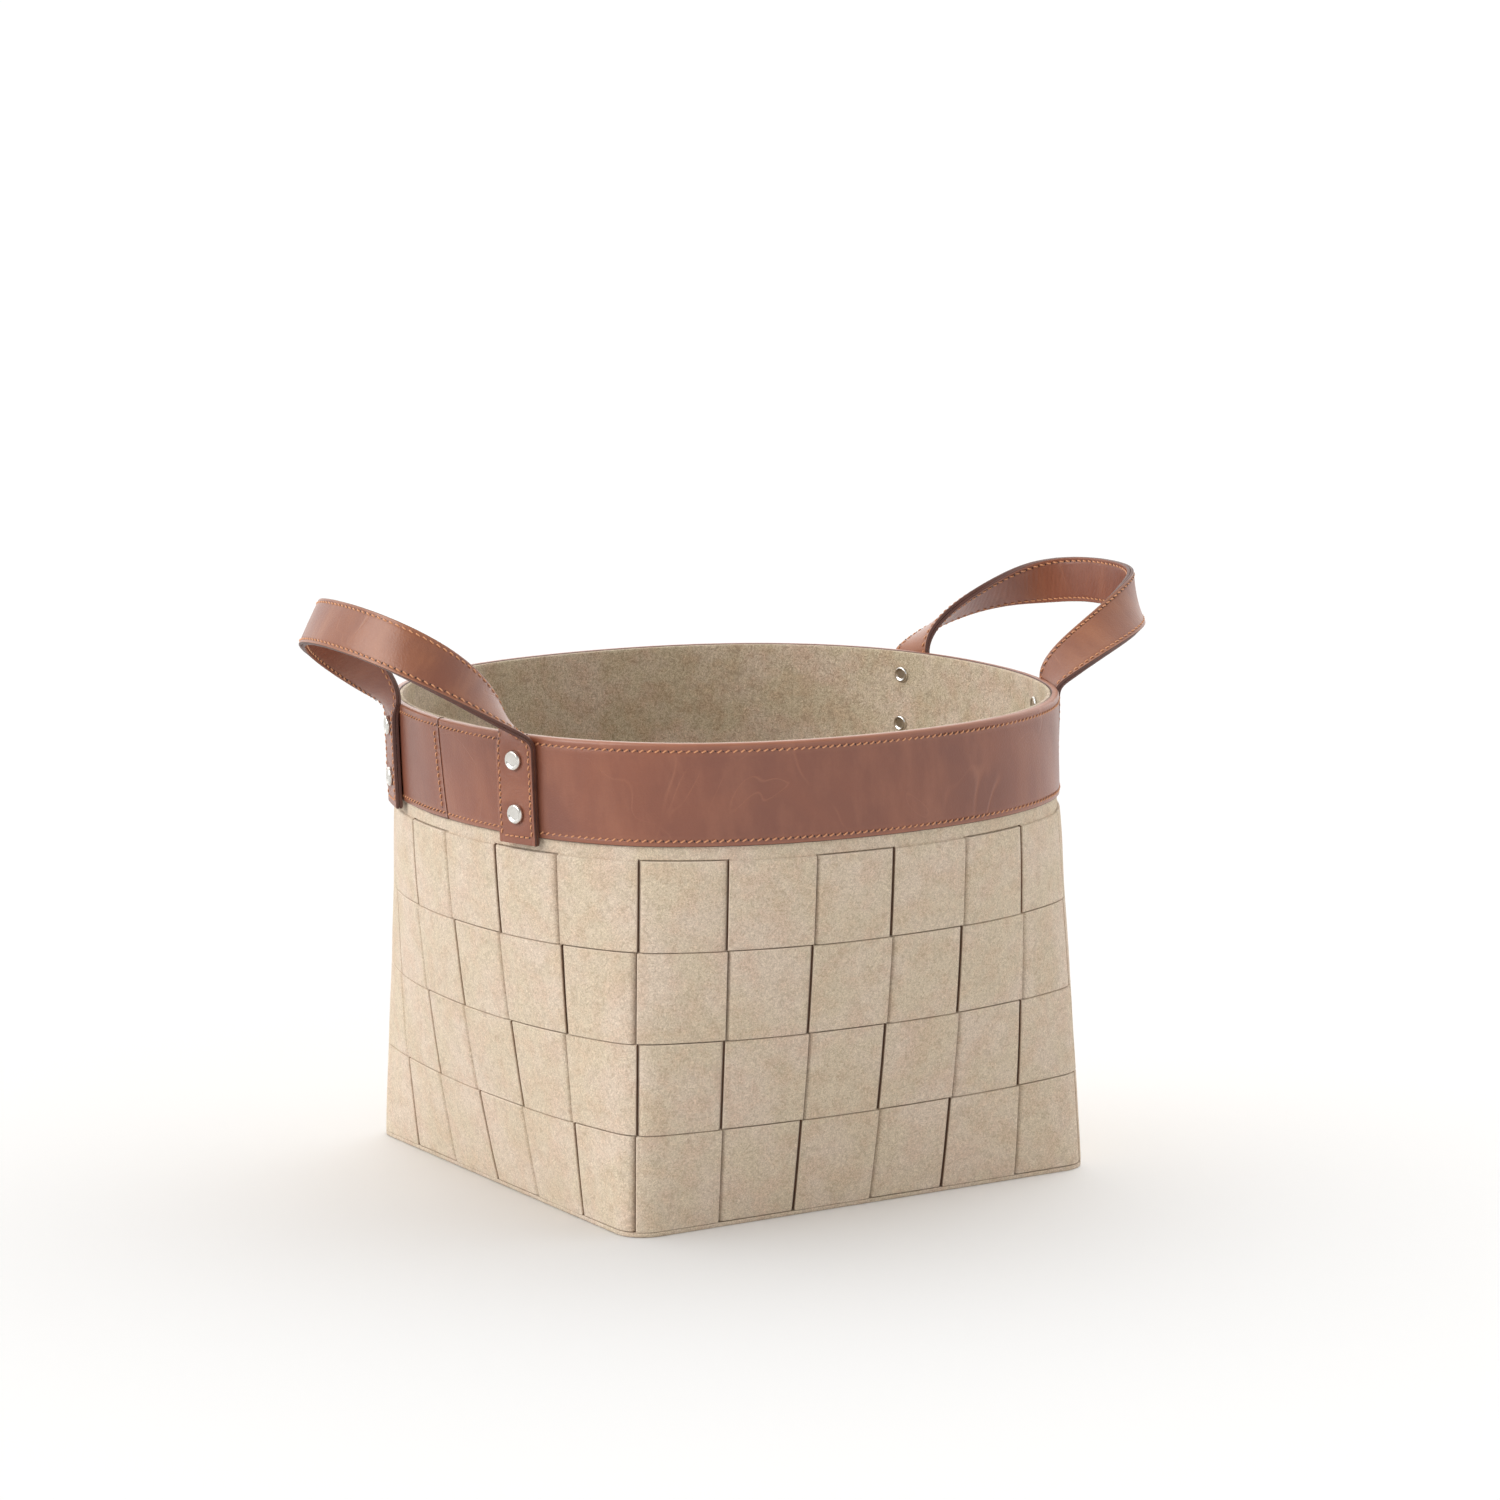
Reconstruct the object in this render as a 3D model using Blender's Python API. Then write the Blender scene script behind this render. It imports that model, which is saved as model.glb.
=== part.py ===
"""Woven felt storage bin with a leather rim band and two riveted leather strap handles.

Metres, +Z up. The origin is on the floor under the middle of the bin. The handles point along -X (left)
and +X (right), and the front of the bin faces -Y. A place on the wall is given by a column, which counts
the 24 upright felt strips round the bin from the front left corner, by a height, and by an offset, which
is the distance outwards from the middle of the felt shell.
"""
import math

import bpy
import bmesh
import numpy as np
from mathutils import Vector

# ---- driving dimensions ----
HEIGHT = 0.250                 # floor to the top of the leather rim
RIM_RADIUS = 0.175             # mean radius of the leather band at the rim
RIM_SQUARENESS = 0.021         # how far the round rim still follows the square base, as a share of its radius
BASE_WIDTH = 0.2808            # side of the square base, over the felt strips
BASE_CORNER_RADIUS = 0.014
FLARE_POWER = 1.65             # how soon the square base turns into the round rim on the way up
GAP = 0.0003                   # between pieces that touch
FELT = 0.0022                  # thickness of every felt piece
BAND_LEATHER = 0.0014
STRAP_LEATHER = 0.0017         # each of the two layers of a handle
BOARD = 0.0020                 # stiffening board inside the base

SIDES = 4
COLUMNS_PER_SIDE = 6
COLUMNS = SIDES * COLUMNS_PER_SIDE
ROWS = 4
ROW_PITCH = 0.0463
WEAVE_TOP = 0.1904             # top edge of the highest weft strip
STRIP_GAP = 0.0020             # room between neighbouring strips, where the crossing strip dives through
BAND_HEIGHT = 0.0525
BAND_EDGE_ROUND = 0.0012

STRAP_WIDTH = 0.0248
TAB_DROP = 0.0035              # how far the tabs reach below the band
TAB_COLUMN = 1.52              # from the middle of a handle to the middle of its tab, in columns
STRAP_LIFT_OFF = 0.005         # where the strap leaves the band, below the rim's top
HINGE_RISE = 0.005             # the line that a handle flexes about, above the rim's top
HINGE_CUT_RADIUS = 0.0078      # the arch ends on a cylinder of this radius round that line
HINGE_GAP = 0.0006             # and the tab ends on a cylinder this much smaller
STRAP_STATIONS = 81            # points along each half of a strap
STATIONS_PER_RING = 4
STRAP_STRIPS = 4               # faces across a strap
STRAP_DIAGONALS = [False] * (STRAP_STRIPS + 1) + [True] * STRAP_STRIPS + [False]  # both sides split alike
RIVET_DEPTHS = (0.013, 0.0405)  # rivet centres, below the rim's top
RIVET_CAP_RADIUS = 0.0051
RIVET_CAP_HEIGHT = 0.0019
RIVET_POST_RADIUS = 0.0019
INNER_CAP_RADIUS = 0.0044
INNER_CAP_HEIGHT = 0.0014
RIVET_SEGMENTS = 10
INNER_CAP_SEAT = 0.0008        # a flat inner cap stands this far off the hollow face of the lining
CUTTER_EXTRA = 0.004           # how far a hole's cutter passes the faces that it cuts

# Each handle is the same strap, resting at its own lean: how far its top reaches out from the rim and
# rises over it, how full its curve is, and the way its width faces half way up and at its top.
HANDLES = {
    "left": {"side": -1, "reach": 0.0557, "rise": 0.0536, "root_pull": 0.0192, "top_pull": 0.0811,
             "top_lean": math.radians(30.2), "mid_width": (0.046, 0.690, -1.036), "turn_power": 0.676},
    "right": {"side": 1, "reach": 0.0730, "rise": 0.0392, "root_pull": 0.0219, "top_pull": 0.0805,
              "top_lean": math.radians(-3.4), "mid_width": (-0.813, 3.000, -2.484), "turn_power": 0.85},
}

# ---- derived dimensions ----
STRIP_OFFSET = (FELT + GAP) / 2                      # a strip over or under the one that it crosses
BAND_INNER = FELT / 2 + GAP
BAND_OUTER = BAND_INNER + BAND_LEATHER
SHELL_RIM_RADIUS = RIM_RADIUS - BAND_OUTER
SHELL_BASE_HALF = BASE_WIDTH / 2 - STRIP_OFFSET - FELT / 2
LINING_WOVEN = -(STRIP_OFFSET + FELT / 2 + GAP)      # outer face of the lining behind the weave
LINING_TOP = -(FELT / 2 + GAP)                       # outer face of the lining behind the band
WALL_TOP = HEIGHT - BAND_LEATHER - GAP
BAND_BOTTOM = HEIGHT - BAND_HEIGHT
BAND_MIDDLE = HEIGHT - BAND_HEIGHT / 2
WEAVE_BOTTOM = WEAVE_TOP - ROWS * ROW_PITCH
SHELL_BOTTOM = FELT + GAP
BOARD_BOTTOM = FELT + GAP
LINING_BOTTOM = BOARD_BOTTOM + BOARD + GAP
STRAP = 2 * STRAP_LEATHER + GAP
TAB_OFFSET = BAND_OUTER + GAP + STRAP / 2
MEAN_COLUMN = 2 * math.pi * SHELL_RIM_RADIUS / COLUMNS
EDGE = STRIP_GAP / 2 / MEAN_COLUMN                   # half a slit, in columns

UP = np.array((0.0, 0.0, 1.0))
MIRROR_Y = np.array((1.0, -1.0, 1.0))

OATMEAL = (0.56, 0.46, 0.35)
PALE_FELT = (0.50, 0.41, 0.31)
BOARD_GREY = (0.35, 0.32, 0.28)
TAN_LEATHER = (0.30, 0.095, 0.042)
NICKEL = (0.75, 0.73, 0.68)


# ---- the wall as a surface ----
def base_outline(column):
    """A point of the shell's rounded square at the floor, by equal lengths of its edge."""
    straight = 2 * (SHELL_BASE_HALF - BASE_CORNER_RADIUS)
    arc = math.pi / 2 * BASE_CORNER_RADIUS
    along = (column % COLUMNS) / COLUMNS_PER_SIDE * (straight + arc)
    side, run = divmod(along, straight + arc)
    inner = SHELL_BASE_HALF - BASE_CORNER_RADIUS
    if run < arc / 2:
        turn = -3 * math.pi / 4 + run / BASE_CORNER_RADIUS
        x, y = -inner + BASE_CORNER_RADIUS * math.cos(turn), -inner + BASE_CORNER_RADIUS * math.sin(turn)
    elif run < arc / 2 + straight:
        x, y = -inner + run - arc / 2, -SHELL_BASE_HALF
    else:
        turn = -math.pi / 2 + (run - arc / 2 - straight) / BASE_CORNER_RADIUS
        x, y = inner + BASE_CORNER_RADIUS * math.cos(turn), -inner + BASE_CORNER_RADIUS * math.sin(turn)
    cos, sin = math.cos(side * math.pi / 2), math.sin(side * math.pi / 2)
    return np.array((x * cos - y * sin, x * sin + y * cos))


def rim_outline(column):
    """A point of the shell at the rim, nearly a circle."""
    angle = -3 * math.pi / 4 + column / COLUMNS * 2 * math.pi
    radius = SHELL_RIM_RADIUS - RIM_RADIUS * RIM_SQUARENESS * math.cos(4 * angle)
    return radius * np.array((math.cos(angle), math.sin(angle)))


def section(column, height):
    """The middle of the shell, blended from the base's square to the rim's circle."""
    roundness = 1 - (1 - min(height / HEIGHT, 1.0)) ** FLARE_POWER
    return (1 - roundness) * base_outline(column) + roundness * rim_outline(column)


def wall_frame(column, height):
    """The shell's middle point, its level outward direction and its level direction along the wall."""
    step = 0.02
    along = section(column + step, height) - section(column - step, height)
    along /= np.linalg.norm(along)
    return section(column, height), np.array((along[1], -along[0])), along


def wall_point(column, height, offset):
    middle, outward, _ = wall_frame(column, height)
    x, y = middle + outward * offset
    return (x, y, height)


def column_stations():
    """Where the wall has edges: the two sides of every slit, and more towards the base's corners."""
    stations = []
    for column in range(COLUMNS):
        place = column % COLUMNS_PER_SIDE
        if place == 0:
            inside = (0.30, 0.65)
        elif place == COLUMNS_PER_SIDE - 1:
            inside = (0.35, 0.70)
        else:
            inside = (0.5,)
        stations += [column + part for part in (EDGE, *inside, 1 - EDGE)]
    return stations


# ---- making objects ----
def clear_scene():
    for old in list(bpy.data.objects):
        bpy.data.objects.remove(old, do_unlink=True)


def material(name, colour, roughness, metallic):
    mat = bpy.data.materials.new(name)
    mat.use_nodes = True
    shader = mat.node_tree.nodes["Principled BSDF"]
    shader.inputs["Base Color"].default_value = (*colour, 1.0)
    shader.inputs["Roughness"].default_value = roughness
    shader.inputs["Metallic"].default_value = metallic
    return mat


def add_object(name, bm, colour, roughness, metallic=0.0, parent=None, smooth=True):
    """Turn a bmesh in world space into an object with its own material, hung under its parent."""
    bmesh.ops.recalc_face_normals(bm, faces=bm.faces)
    origin = parent.matrix_world.translation if parent else Vector((0, 0, 0))
    bmesh.ops.translate(bm, verts=bm.verts, vec=-origin)
    mesh = bpy.data.meshes.new(name)
    bm.to_mesh(mesh)
    bm.free()
    if smooth:
        mesh.shade_smooth()
        mesh.set_sharp_from_angle(angle=math.radians(40))
    mesh.materials.append(material(name, colour, roughness, metallic))
    obj = bpy.data.objects.new(name, mesh)
    bpy.context.scene.collection.objects.link(obj)
    if parent:
        obj.parent = parent
    return obj


def hinge_empty(name, location):
    """An empty on a handle's flex line, which the moving layers hang under."""
    empty = bpy.data.objects.new(name, None)
    empty.location = location
    bpy.context.scene.collection.objects.link(empty)
    bpy.context.view_layer.update()
    return empty


def loft(sections, closed, diagonals=None):
    """Skin a list of equal rings of points, into a closed loop or into a body with two capped ends.

    diagonals says for each side of the ring which way its faces are split, where the faces aren't flat.
    Then the ends aren't flat either, and each is capped by a row of faces between its two long edges."""
    bm = bmesh.new()
    rings = [[bm.verts.new(point) for point in ring] for ring in sections]
    pairs = zip(rings, rings[1:] + rings[:1]) if closed else zip(rings, rings[1:])
    for ring, following in pairs:
        for i in range(len(ring)):
            right = (i + 1) % len(ring)
            if diagonals is None:
                bm.faces.new((ring[i], ring[right], following[right], following[i]))
            elif diagonals[i]:
                bm.faces.new((ring[i], ring[right], following[i]))
                bm.faces.new((ring[right], following[right], following[i]))
            else:
                bm.faces.new((ring[i], ring[right], following[right]))
                bm.faces.new((ring[i], following[right], following[i]))
    if closed:
        return bm
    for ring in (rings[0], rings[-1]):
        if diagonals is None:
            bm.faces.new(ring)
            continue
        for i in range(len(ring) // 2 - 1):
            bm.faces.new((ring[i], ring[i + 1], ring[-2 - i], ring[-1 - i]))
    return bm


def wall_ring(profile_at):
    """Sweep a closed outline of (height, offset) points once round the wall.

    profile_at gives the outline for a column. Sides that run down split their faces the other way from
    sides that run up, so that two curved surfaces that lie close together never cross."""
    heights = [height for height, _ in profile_at(0.5)]
    downwards = [following < height for height, following in zip(heights, heights[1:] + heights[:1])]
    rings = [[wall_point(column, *point) for point in profile_at(column)] for column in column_stations()]
    return loft(rings, True, downwards)


# ---- felt pieces ----
def weave_side(column, row):
    """+1 where the upright strip passes over the weft strip, -1 where it passes under."""
    return -1 if (column + row) % 2 == 0 else 1


def row_span(row):
    """The lower and upper edge of a weft strip; row 0 is the highest."""
    top = WEAVE_TOP - row * ROW_PITCH
    return top - ROW_PITCH + STRIP_GAP / 2, top - STRIP_GAP / 2


def shell_levels():
    """Heights of the shell's edges, each with the weave row that it belongs to, or None off the weave."""
    levels = [(SHELL_BOTTOM, None), (WEAVE_BOTTOM - STRIP_GAP / 2, None)]
    for row in reversed(range(ROWS)):
        levels += [(height, row) for height in row_span(row)]
    levels += [(WEAVE_TOP + STRIP_GAP / 2, None), (BAND_BOTTOM, None), (BAND_MIDDLE, None), (WALL_TOP, None)]
    return levels


def make_outer_shell():
    """One felt sheet round the bin, slit into upright strips that dive over and under the weft strips."""
    stations = column_stations()
    levels = shell_levels()
    bm = bmesh.new()
    outer, inner = {}, {}
    for i, station in enumerate(stations):
        for j, (height, row) in enumerate(levels):
            offset = 0.0 if row is None else STRIP_OFFSET * weave_side(int(station), row)
            outer[i, j] = bm.verts.new(wall_point(station, height, offset + FELT / 2))
            inner[i, j] = bm.verts.new(wall_point(station, height, offset - FELT / 2))
    count = len(stations)

    def filled(i, j):
        if not 0 <= j < len(levels) - 1:
            return False
        crosses_slit = int(stations[i % count]) != int(stations[(i + 1) % count])
        woven = levels[j][1] is not None or levels[j + 1][1] is not None
        return not (crosses_slit and woven)

    for i in range(count):
        right = (i + 1) % count
        for j in range(len(levels) - 1):
            if not filled(i, j):
                continue
            for face in (outer, inner):
                bm.faces.new((face[i, j], face[right, j], face[right, j + 1]))
                bm.faces.new((face[i, j], face[right, j + 1], face[i, j + 1]))
            low_left, low_right, top_left, top_right = (i, j), (right, j), (i, j + 1), (right, j + 1)
            borders = ((low_left, low_right, filled(i, j - 1)), (top_left, top_right, filled(i, j + 1)),
                       (low_left, top_left, filled(i - 1, j)), (low_right, top_right, filled(right, j)))
            for start, end, has_neighbour in borders:
                if not has_neighbour:
                    bm.faces.new((outer[start], outer[end], inner[end], inner[start]))
    return add_object("outer_shell", bm, OATMEAL, 0.95)


def make_weft_strip(row):
    """A level felt strip that closes on itself, woven through the slits of the shell."""
    low, high = row_span(row)

    def profile(column):
        offset = -STRIP_OFFSET * weave_side(int(column), row)
        outer, inner = offset + FELT / 2, offset - FELT / 2
        return (low, outer), (high, outer), (high, inner), (low, inner)

    add_object(f"weft_strip_{row + 1}", wall_ring(profile), OATMEAL, 0.95)


def make_lining_wall():
    woven = [(height, LINING_WOVEN) for height in
             (LINING_BOTTOM, *(WEAVE_TOP - row * ROW_PITCH for row in reversed(range(ROWS))))]
    upper = [(height, LINING_TOP) for height in (BAND_BOTTOM, BAND_MIDDLE, WALL_TOP)]
    outside = woven + upper
    inside = [(height, offset - FELT) for height, offset in reversed(outside)]
    profile = outside + inside
    return add_object("lining_wall", wall_ring(lambda column: profile), PALE_FELT, 0.95)


def make_base_plate(name, bottom, thickness, offset, colour):
    """A flat plate with the bin's rounded square outline."""
    rings = [[wall_point(station, height, offset)[:2] + (height,) for station in column_stations()]
             for height in (bottom, bottom + thickness)]
    add_object(name, loft(rings, False), colour, 0.95, smooth=False)


# ---- leather pieces ----
def make_rim_band():
    """The leather band outside the wall, folded over the wall's top and trimmed at the lining's face."""
    inside = LINING_TOP - FELT - GAP
    edge = BAND_EDGE_ROUND
    profile = [
        (BAND_BOTTOM, BAND_OUTER), (BAND_MIDDLE, BAND_OUTER), (HEIGHT - 2 * edge, BAND_OUTER),
        (HEIGHT - edge / 2, BAND_OUTER - edge / 2), (HEIGHT, BAND_OUTER - 1.5 * edge),
        (HEIGHT, inside + edge / 2), (HEIGHT - edge / 2, inside), (HEIGHT - BAND_LEATHER, inside),
        (HEIGHT - BAND_LEATHER, BAND_INNER), (BAND_MIDDLE, BAND_INNER), (BAND_BOTTOM, BAND_INNER),
    ]
    return add_object("rim_band", wall_ring(lambda column: profile), TAN_LEATHER, 0.45)


def tab_column(side):
    """The column at the middle of the tab on the strap's first half; the second half mirrors it in Y."""
    middle = 3 * COLUMNS_PER_SIDE + COLUMNS_PER_SIDE / 2 if side < 0 else COLUMNS_PER_SIDE * 1.5
    return middle + TAB_COLUMN


def strap_frames(handle):
    """Middle line and width direction of a strap's first half, from its tab's foot to the top of its loop."""
    side = handle["side"]
    out = np.array((float(side), 0.0, 0.0))
    across = np.cross(UP, out)
    column = tab_column(side)
    centres, widths = [], []
    lift_off = HEIGHT - STRAP_LIFT_OFF
    for height in np.linspace(BAND_BOTTOM - TAB_DROP, lift_off, 4)[:-1]:
        _, _, along = wall_frame(column, lift_off)
        centres.append(np.array(wall_point(column, max(height, BAND_BOTTOM), TAB_OFFSET)[:2] + (height,)))
        widths.append(np.append(along, 0.0))
    root = np.array(wall_point(column, lift_off, TAB_OFFSET))
    top = out * (RIM_RADIUS + handle["reach"]) + UP * (HEIGHT + handle["rise"])
    pulls = (root, root + UP * handle["root_pull"], top + across * handle["top_pull"], top)
    mid = np.column_stack((out, across, UP)) @ np.array(handle["mid_width"])
    lean = handle["top_lean"]
    facings = (widths[-1], mid, out * math.sin(lean) - UP * math.cos(lean))
    for step in np.linspace(0, 1, STRAP_STATIONS):
        rest = 1 - step
        centre = (rest ** 3 * pulls[0] + 3 * rest ** 2 * step * pulls[1]
                  + 3 * rest * step ** 2 * pulls[2] + step ** 3 * pulls[3])
        tangent = (rest ** 2 * (pulls[1] - pulls[0]) + 2 * rest * step * (pulls[2] - pulls[1])
                   + step ** 2 * (pulls[3] - pulls[2]))
        tangent /= np.linalg.norm(tangent)
        turn = step ** handle["turn_power"]
        width = (1 - turn) ** 2 * facings[0] + 2 * turn * (1 - turn) * facings[1] + turn ** 2 * facings[2]
        width -= tangent * (tangent @ width)
        centres.append(centre)
        widths.append(width / np.linalg.norm(width))
    return np.array(centres), np.array(widths)


def strap_rails(handle, inner_face, outer_face):
    """Long edges of one strap layer: lines of points round its section, over the whole first half."""
    centres, widths = strap_frames(handle)
    tangents = np.gradient(centres, axis=0)
    tangents /= np.linalg.norm(tangents, axis=1)[:, None]
    normals = np.cross(widths, tangents)
    places = np.linspace(-STRAP_WIDTH / 2, STRAP_WIDTH / 2, STRAP_STRIPS + 1)
    corners = [(place, outer_face) for place in places] + [(place, inner_face) for place in reversed(places)]
    return np.array([centres + widths * across + normals * depth for across, depth in corners])


def hinge_line(handle):
    """X and height of the line, parallel to Y, that a handle flexes about."""
    centres, _ = strap_frames(handle)
    height = HEIGHT + HINGE_RISE
    return float(np.interp(height, centres[:, 2], centres[:, 0])), height


def leaving_stations(rails, hinge, radius):
    """The rails' distances from the hinge line, and each one's first station past a cylinder round it."""
    distance = np.hypot(rails[:, :, 0] - hinge[0], rails[:, :, 2] - hinge[1])
    outside = (rails[:, :, 2] > hinge[1]) & (distance > radius)
    return distance, outside.argmax(axis=1)


def cut_rails(rails, hinge, radius):
    """The ring of points where a layer's rails leave the cylinder round the hinge line."""
    ends = []
    for rail, away, first in zip(rails, *leaving_stations(rails, hinge, radius)):
        share = (radius - away[first - 1]) / (away[first] - away[first - 1])
        ends.append(rail[first - 1] + share * (rail[first] - rail[first - 1]))
    return np.array(ends)


def make_strap_layer(handle_name, handle, layer, inner_face, outer_face, hinge_parent):
    """One leather layer of a handle: two tabs on the bin, and the arch that flexes. Returns the tabs."""
    rails = strap_rails(handle, inner_face, outer_face)
    hinge = hinge_line(handle)
    name = f"{handle_name}_handle_{layer}"
    both_layers = strap_rails(handle, -STRAP / 2, STRAP / 2)
    tab_radius = HINGE_CUT_RADIUS - HINGE_GAP
    below = leaving_stations(both_layers, hinge, tab_radius)[1].min() - 1
    above = leaving_stations(both_layers, hinge, HINGE_CUT_RADIUS)[1].max()
    last_station = rails.shape[1] - 1
    kept = [i for i in range(last_station + 1) if (last_station - i) % STATIONS_PER_RING == 0 or i == 0]
    tab_rings = [rails[:, i] for i in kept if i < below] + [cut_rails(rails, hinge, tab_radius)]
    first_half_is_front = handle["side"] < 0
    tabs = {}
    for place in ("front", "rear"):
        mirrored = (place == "front") != first_half_is_front
        rings = [ring * MIRROR_Y for ring in tab_rings] if mirrored else tab_rings
        skin = loft(rings, False, STRAP_DIAGONALS)
        tabs[place] = add_object(f"{name}_{place}_tab", skin, TAN_LEATHER, 0.45)
    half_rings = [cut_rails(rails, hinge, HINGE_CUT_RADIUS)] + [rails[:, i] for i in kept if i > above]
    other_half = [ring * MIRROR_Y for ring in reversed(half_rings[:-1])]
    add_object(f"{name}_arch", loft(half_rings + other_half, False, STRAP_DIAGONALS), TAN_LEATHER,
               0.45, parent=hinge_parent)
    return tabs


# ---- rivets ----
def turned(profile, segments):
    """Spin a profile of (radius, height) points round Z; it starts and ends on the axis."""
    bm = bmesh.new()
    points = [bm.verts.new((radius, 0, height)) for radius, height in profile]
    edges = [bm.edges.new(pair) for pair in zip(points, points[1:])]
    bmesh.ops.spin(bm, geom=points + edges, cent=(0, 0, 0), axis=(0, 0, 1), angle=2 * math.pi,
                   steps=segments, use_merge=True)
    bmesh.ops.remove_doubles(bm, verts=bm.verts, dist=1e-6)
    return bm


def place_along(bm, point, direction):
    turn = Vector((0, 0, 1)).rotation_difference(Vector(direction)).to_matrix().to_4x4()
    bm.transform(turn)
    bmesh.ops.translate(bm, verts=bm.verts, vec=point)


def dome(radius, height, start):
    """A low dome's outline from its rim to its middle, standing on the height start."""
    return [(radius * math.cos(a), start + height * (0.25 + 0.75 * math.sin(a)))
            for a in (0.0, math.radians(50))] + [(0.0, start + height)]


def make_rivet(name, column, height, tab_mirror, cut_pieces):
    """A domed cap with its post outside, and a smaller domed cap inside, through every layer."""
    middle, outward, _ = wall_frame(column, height)
    direction = np.append(outward, 0.0)
    tab_face = TAB_OFFSET + STRAP / 2
    lining_face = LINING_TOP - FELT
    centre = np.append(middle, height)
    if tab_mirror:
        direction = direction * MIRROR_Y
        centre = centre * MIRROR_Y
    seat = tab_face + GAP
    post = [(0.0, lining_face), (RIVET_POST_RADIUS, lining_face), (RIVET_POST_RADIUS, seat),
            (RIVET_CAP_RADIUS, seat)]
    cap = turned(post + dome(RIVET_CAP_RADIUS, RIVET_CAP_HEIGHT, seat), RIVET_SEGMENTS)
    place_along(cap, centre, direction)
    add_object(name, cap, NICKEL, 0.25, 1.0)
    back = turned([(0.0, 0.0), (INNER_CAP_RADIUS, 0.0)] + dome(INNER_CAP_RADIUS, INNER_CAP_HEIGHT, 0.0),
                  RIVET_SEGMENTS)
    place_along(back, centre + direction * (lining_face - INNER_CAP_SEAT), -direction)
    add_object(f"{name}_back", back, NICKEL, 0.25, 1.0)
    radius, start, end = RIVET_POST_RADIUS + GAP, lining_face - CUTTER_EXTRA, tab_face + CUTTER_EXTRA
    hole = turned([(0.0, start), (radius, start), (radius, end), (0.0, end)], RIVET_SEGMENTS)
    place_along(hole, centre, direction)
    cutter = add_object(f"{name}_hole_cutter", hole, NICKEL, 0.5)
    cutter.hide_render = True
    cutter.display_type = "WIRE"
    for piece in cut_pieces:
        boolean = piece.modifiers.new(name, "BOOLEAN")
        boolean.object = cutter
        boolean.operation = "DIFFERENCE"
        boolean.solver = "EXACT"


def make_handle(name, handle, wall_pieces):
    hinge_x, hinge_height = hinge_line(handle)
    hinge = hinge_empty(f"{name}_handle_hinge", (hinge_x, 0.0, hinge_height))
    face_tabs = make_strap_layer(name, handle, "face", GAP / 2, STRAP / 2, hinge)
    back_tabs = make_strap_layer(name, handle, "back", -STRAP / 2, -GAP / 2, hinge)
    for place in ("front", "rear"):
        mirrored = (place == "front") == (handle["side"] > 0)
        for level, depth in zip(("upper", "lower"), RIVET_DEPTHS):
            make_rivet(f"{name}_{place}_{level}_rivet", tab_column(handle["side"]), HEIGHT - depth, mirrored,
                       [face_tabs[place], back_tabs[place], *wall_pieces])


def main():
    clear_scene()
    shell = make_outer_shell()
    for row in range(ROWS):
        make_weft_strip(row)
    lining = make_lining_wall()
    band = make_rim_band()
    make_base_plate("base_panel", 0.0, FELT, STRIP_OFFSET + FELT / 2, OATMEAL)
    make_base_plate("base_board", BOARD_BOTTOM, BOARD, -(FELT / 2 + 2 * GAP), BOARD_GREY)
    make_base_plate("base_lining", LINING_BOTTOM, FELT, LINING_WOVEN - FELT - GAP, PALE_FELT)
    for name, handle in HANDLES.items():
        make_handle(name, handle, [shell, lining, band])


main()
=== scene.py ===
"""The looks of a woven felt storage bin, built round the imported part.

Metres, in the part's frame: +Z up, the origin on the floor under the middle of the bin, the front towards
-Y, the handles towards -X (left) and +X (right). A place on the wall is a column, which counts the 24
upright felt strips round the bin from the front left corner, a height, and an offset outwards from the
middle of the felt shell. Those rules are the part's own, repeated here.
"""

import math

import bpy
import numpy as np
from mathutils import Matrix, Vector


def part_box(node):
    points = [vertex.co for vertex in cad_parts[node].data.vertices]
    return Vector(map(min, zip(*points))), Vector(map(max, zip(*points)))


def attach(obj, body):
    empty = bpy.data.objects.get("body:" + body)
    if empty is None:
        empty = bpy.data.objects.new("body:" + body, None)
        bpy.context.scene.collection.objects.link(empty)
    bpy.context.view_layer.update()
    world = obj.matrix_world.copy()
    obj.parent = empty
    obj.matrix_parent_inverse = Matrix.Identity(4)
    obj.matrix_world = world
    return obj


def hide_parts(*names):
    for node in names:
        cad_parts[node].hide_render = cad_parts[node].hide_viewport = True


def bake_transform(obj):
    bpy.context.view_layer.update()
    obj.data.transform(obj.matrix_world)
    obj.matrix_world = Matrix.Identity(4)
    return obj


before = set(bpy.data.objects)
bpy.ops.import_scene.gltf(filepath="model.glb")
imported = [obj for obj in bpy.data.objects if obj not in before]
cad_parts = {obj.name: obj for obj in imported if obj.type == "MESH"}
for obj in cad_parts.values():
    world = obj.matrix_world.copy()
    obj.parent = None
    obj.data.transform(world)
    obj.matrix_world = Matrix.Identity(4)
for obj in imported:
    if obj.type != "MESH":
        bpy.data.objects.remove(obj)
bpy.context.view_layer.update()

# ---- the part's dimensions ----
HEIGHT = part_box("rim_band")[1].z
BAND_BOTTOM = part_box("rim_band")[0].z
BASE_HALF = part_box("base_panel")[1].x  # half the square base, over the felt strips
RIM_RADIUS = 0.175
RIM_SQUARENESS = 0.021
BASE_CORNER_RADIUS = 0.014
FLARE_POWER = 1.65
GAP = 0.0003
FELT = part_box("base_panel")[1].z
BAND_LEATHER = 0.0014
STRAP_LEATHER = 0.0017
COLUMNS = 24
COLUMNS_PER_SIDE = 6
ROWS = 4
ROW_PITCH = 0.0463
WEAVE_TOP = 0.1904
STRAP_WIDTH = 0.0248
TAB_DROP = 0.0035
TAB_COLUMN = 1.52
STRAP_LIFT_OFF = 0.005
RIVET_DEPTHS = {"upper": 0.013, "lower": 0.0405}
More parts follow.
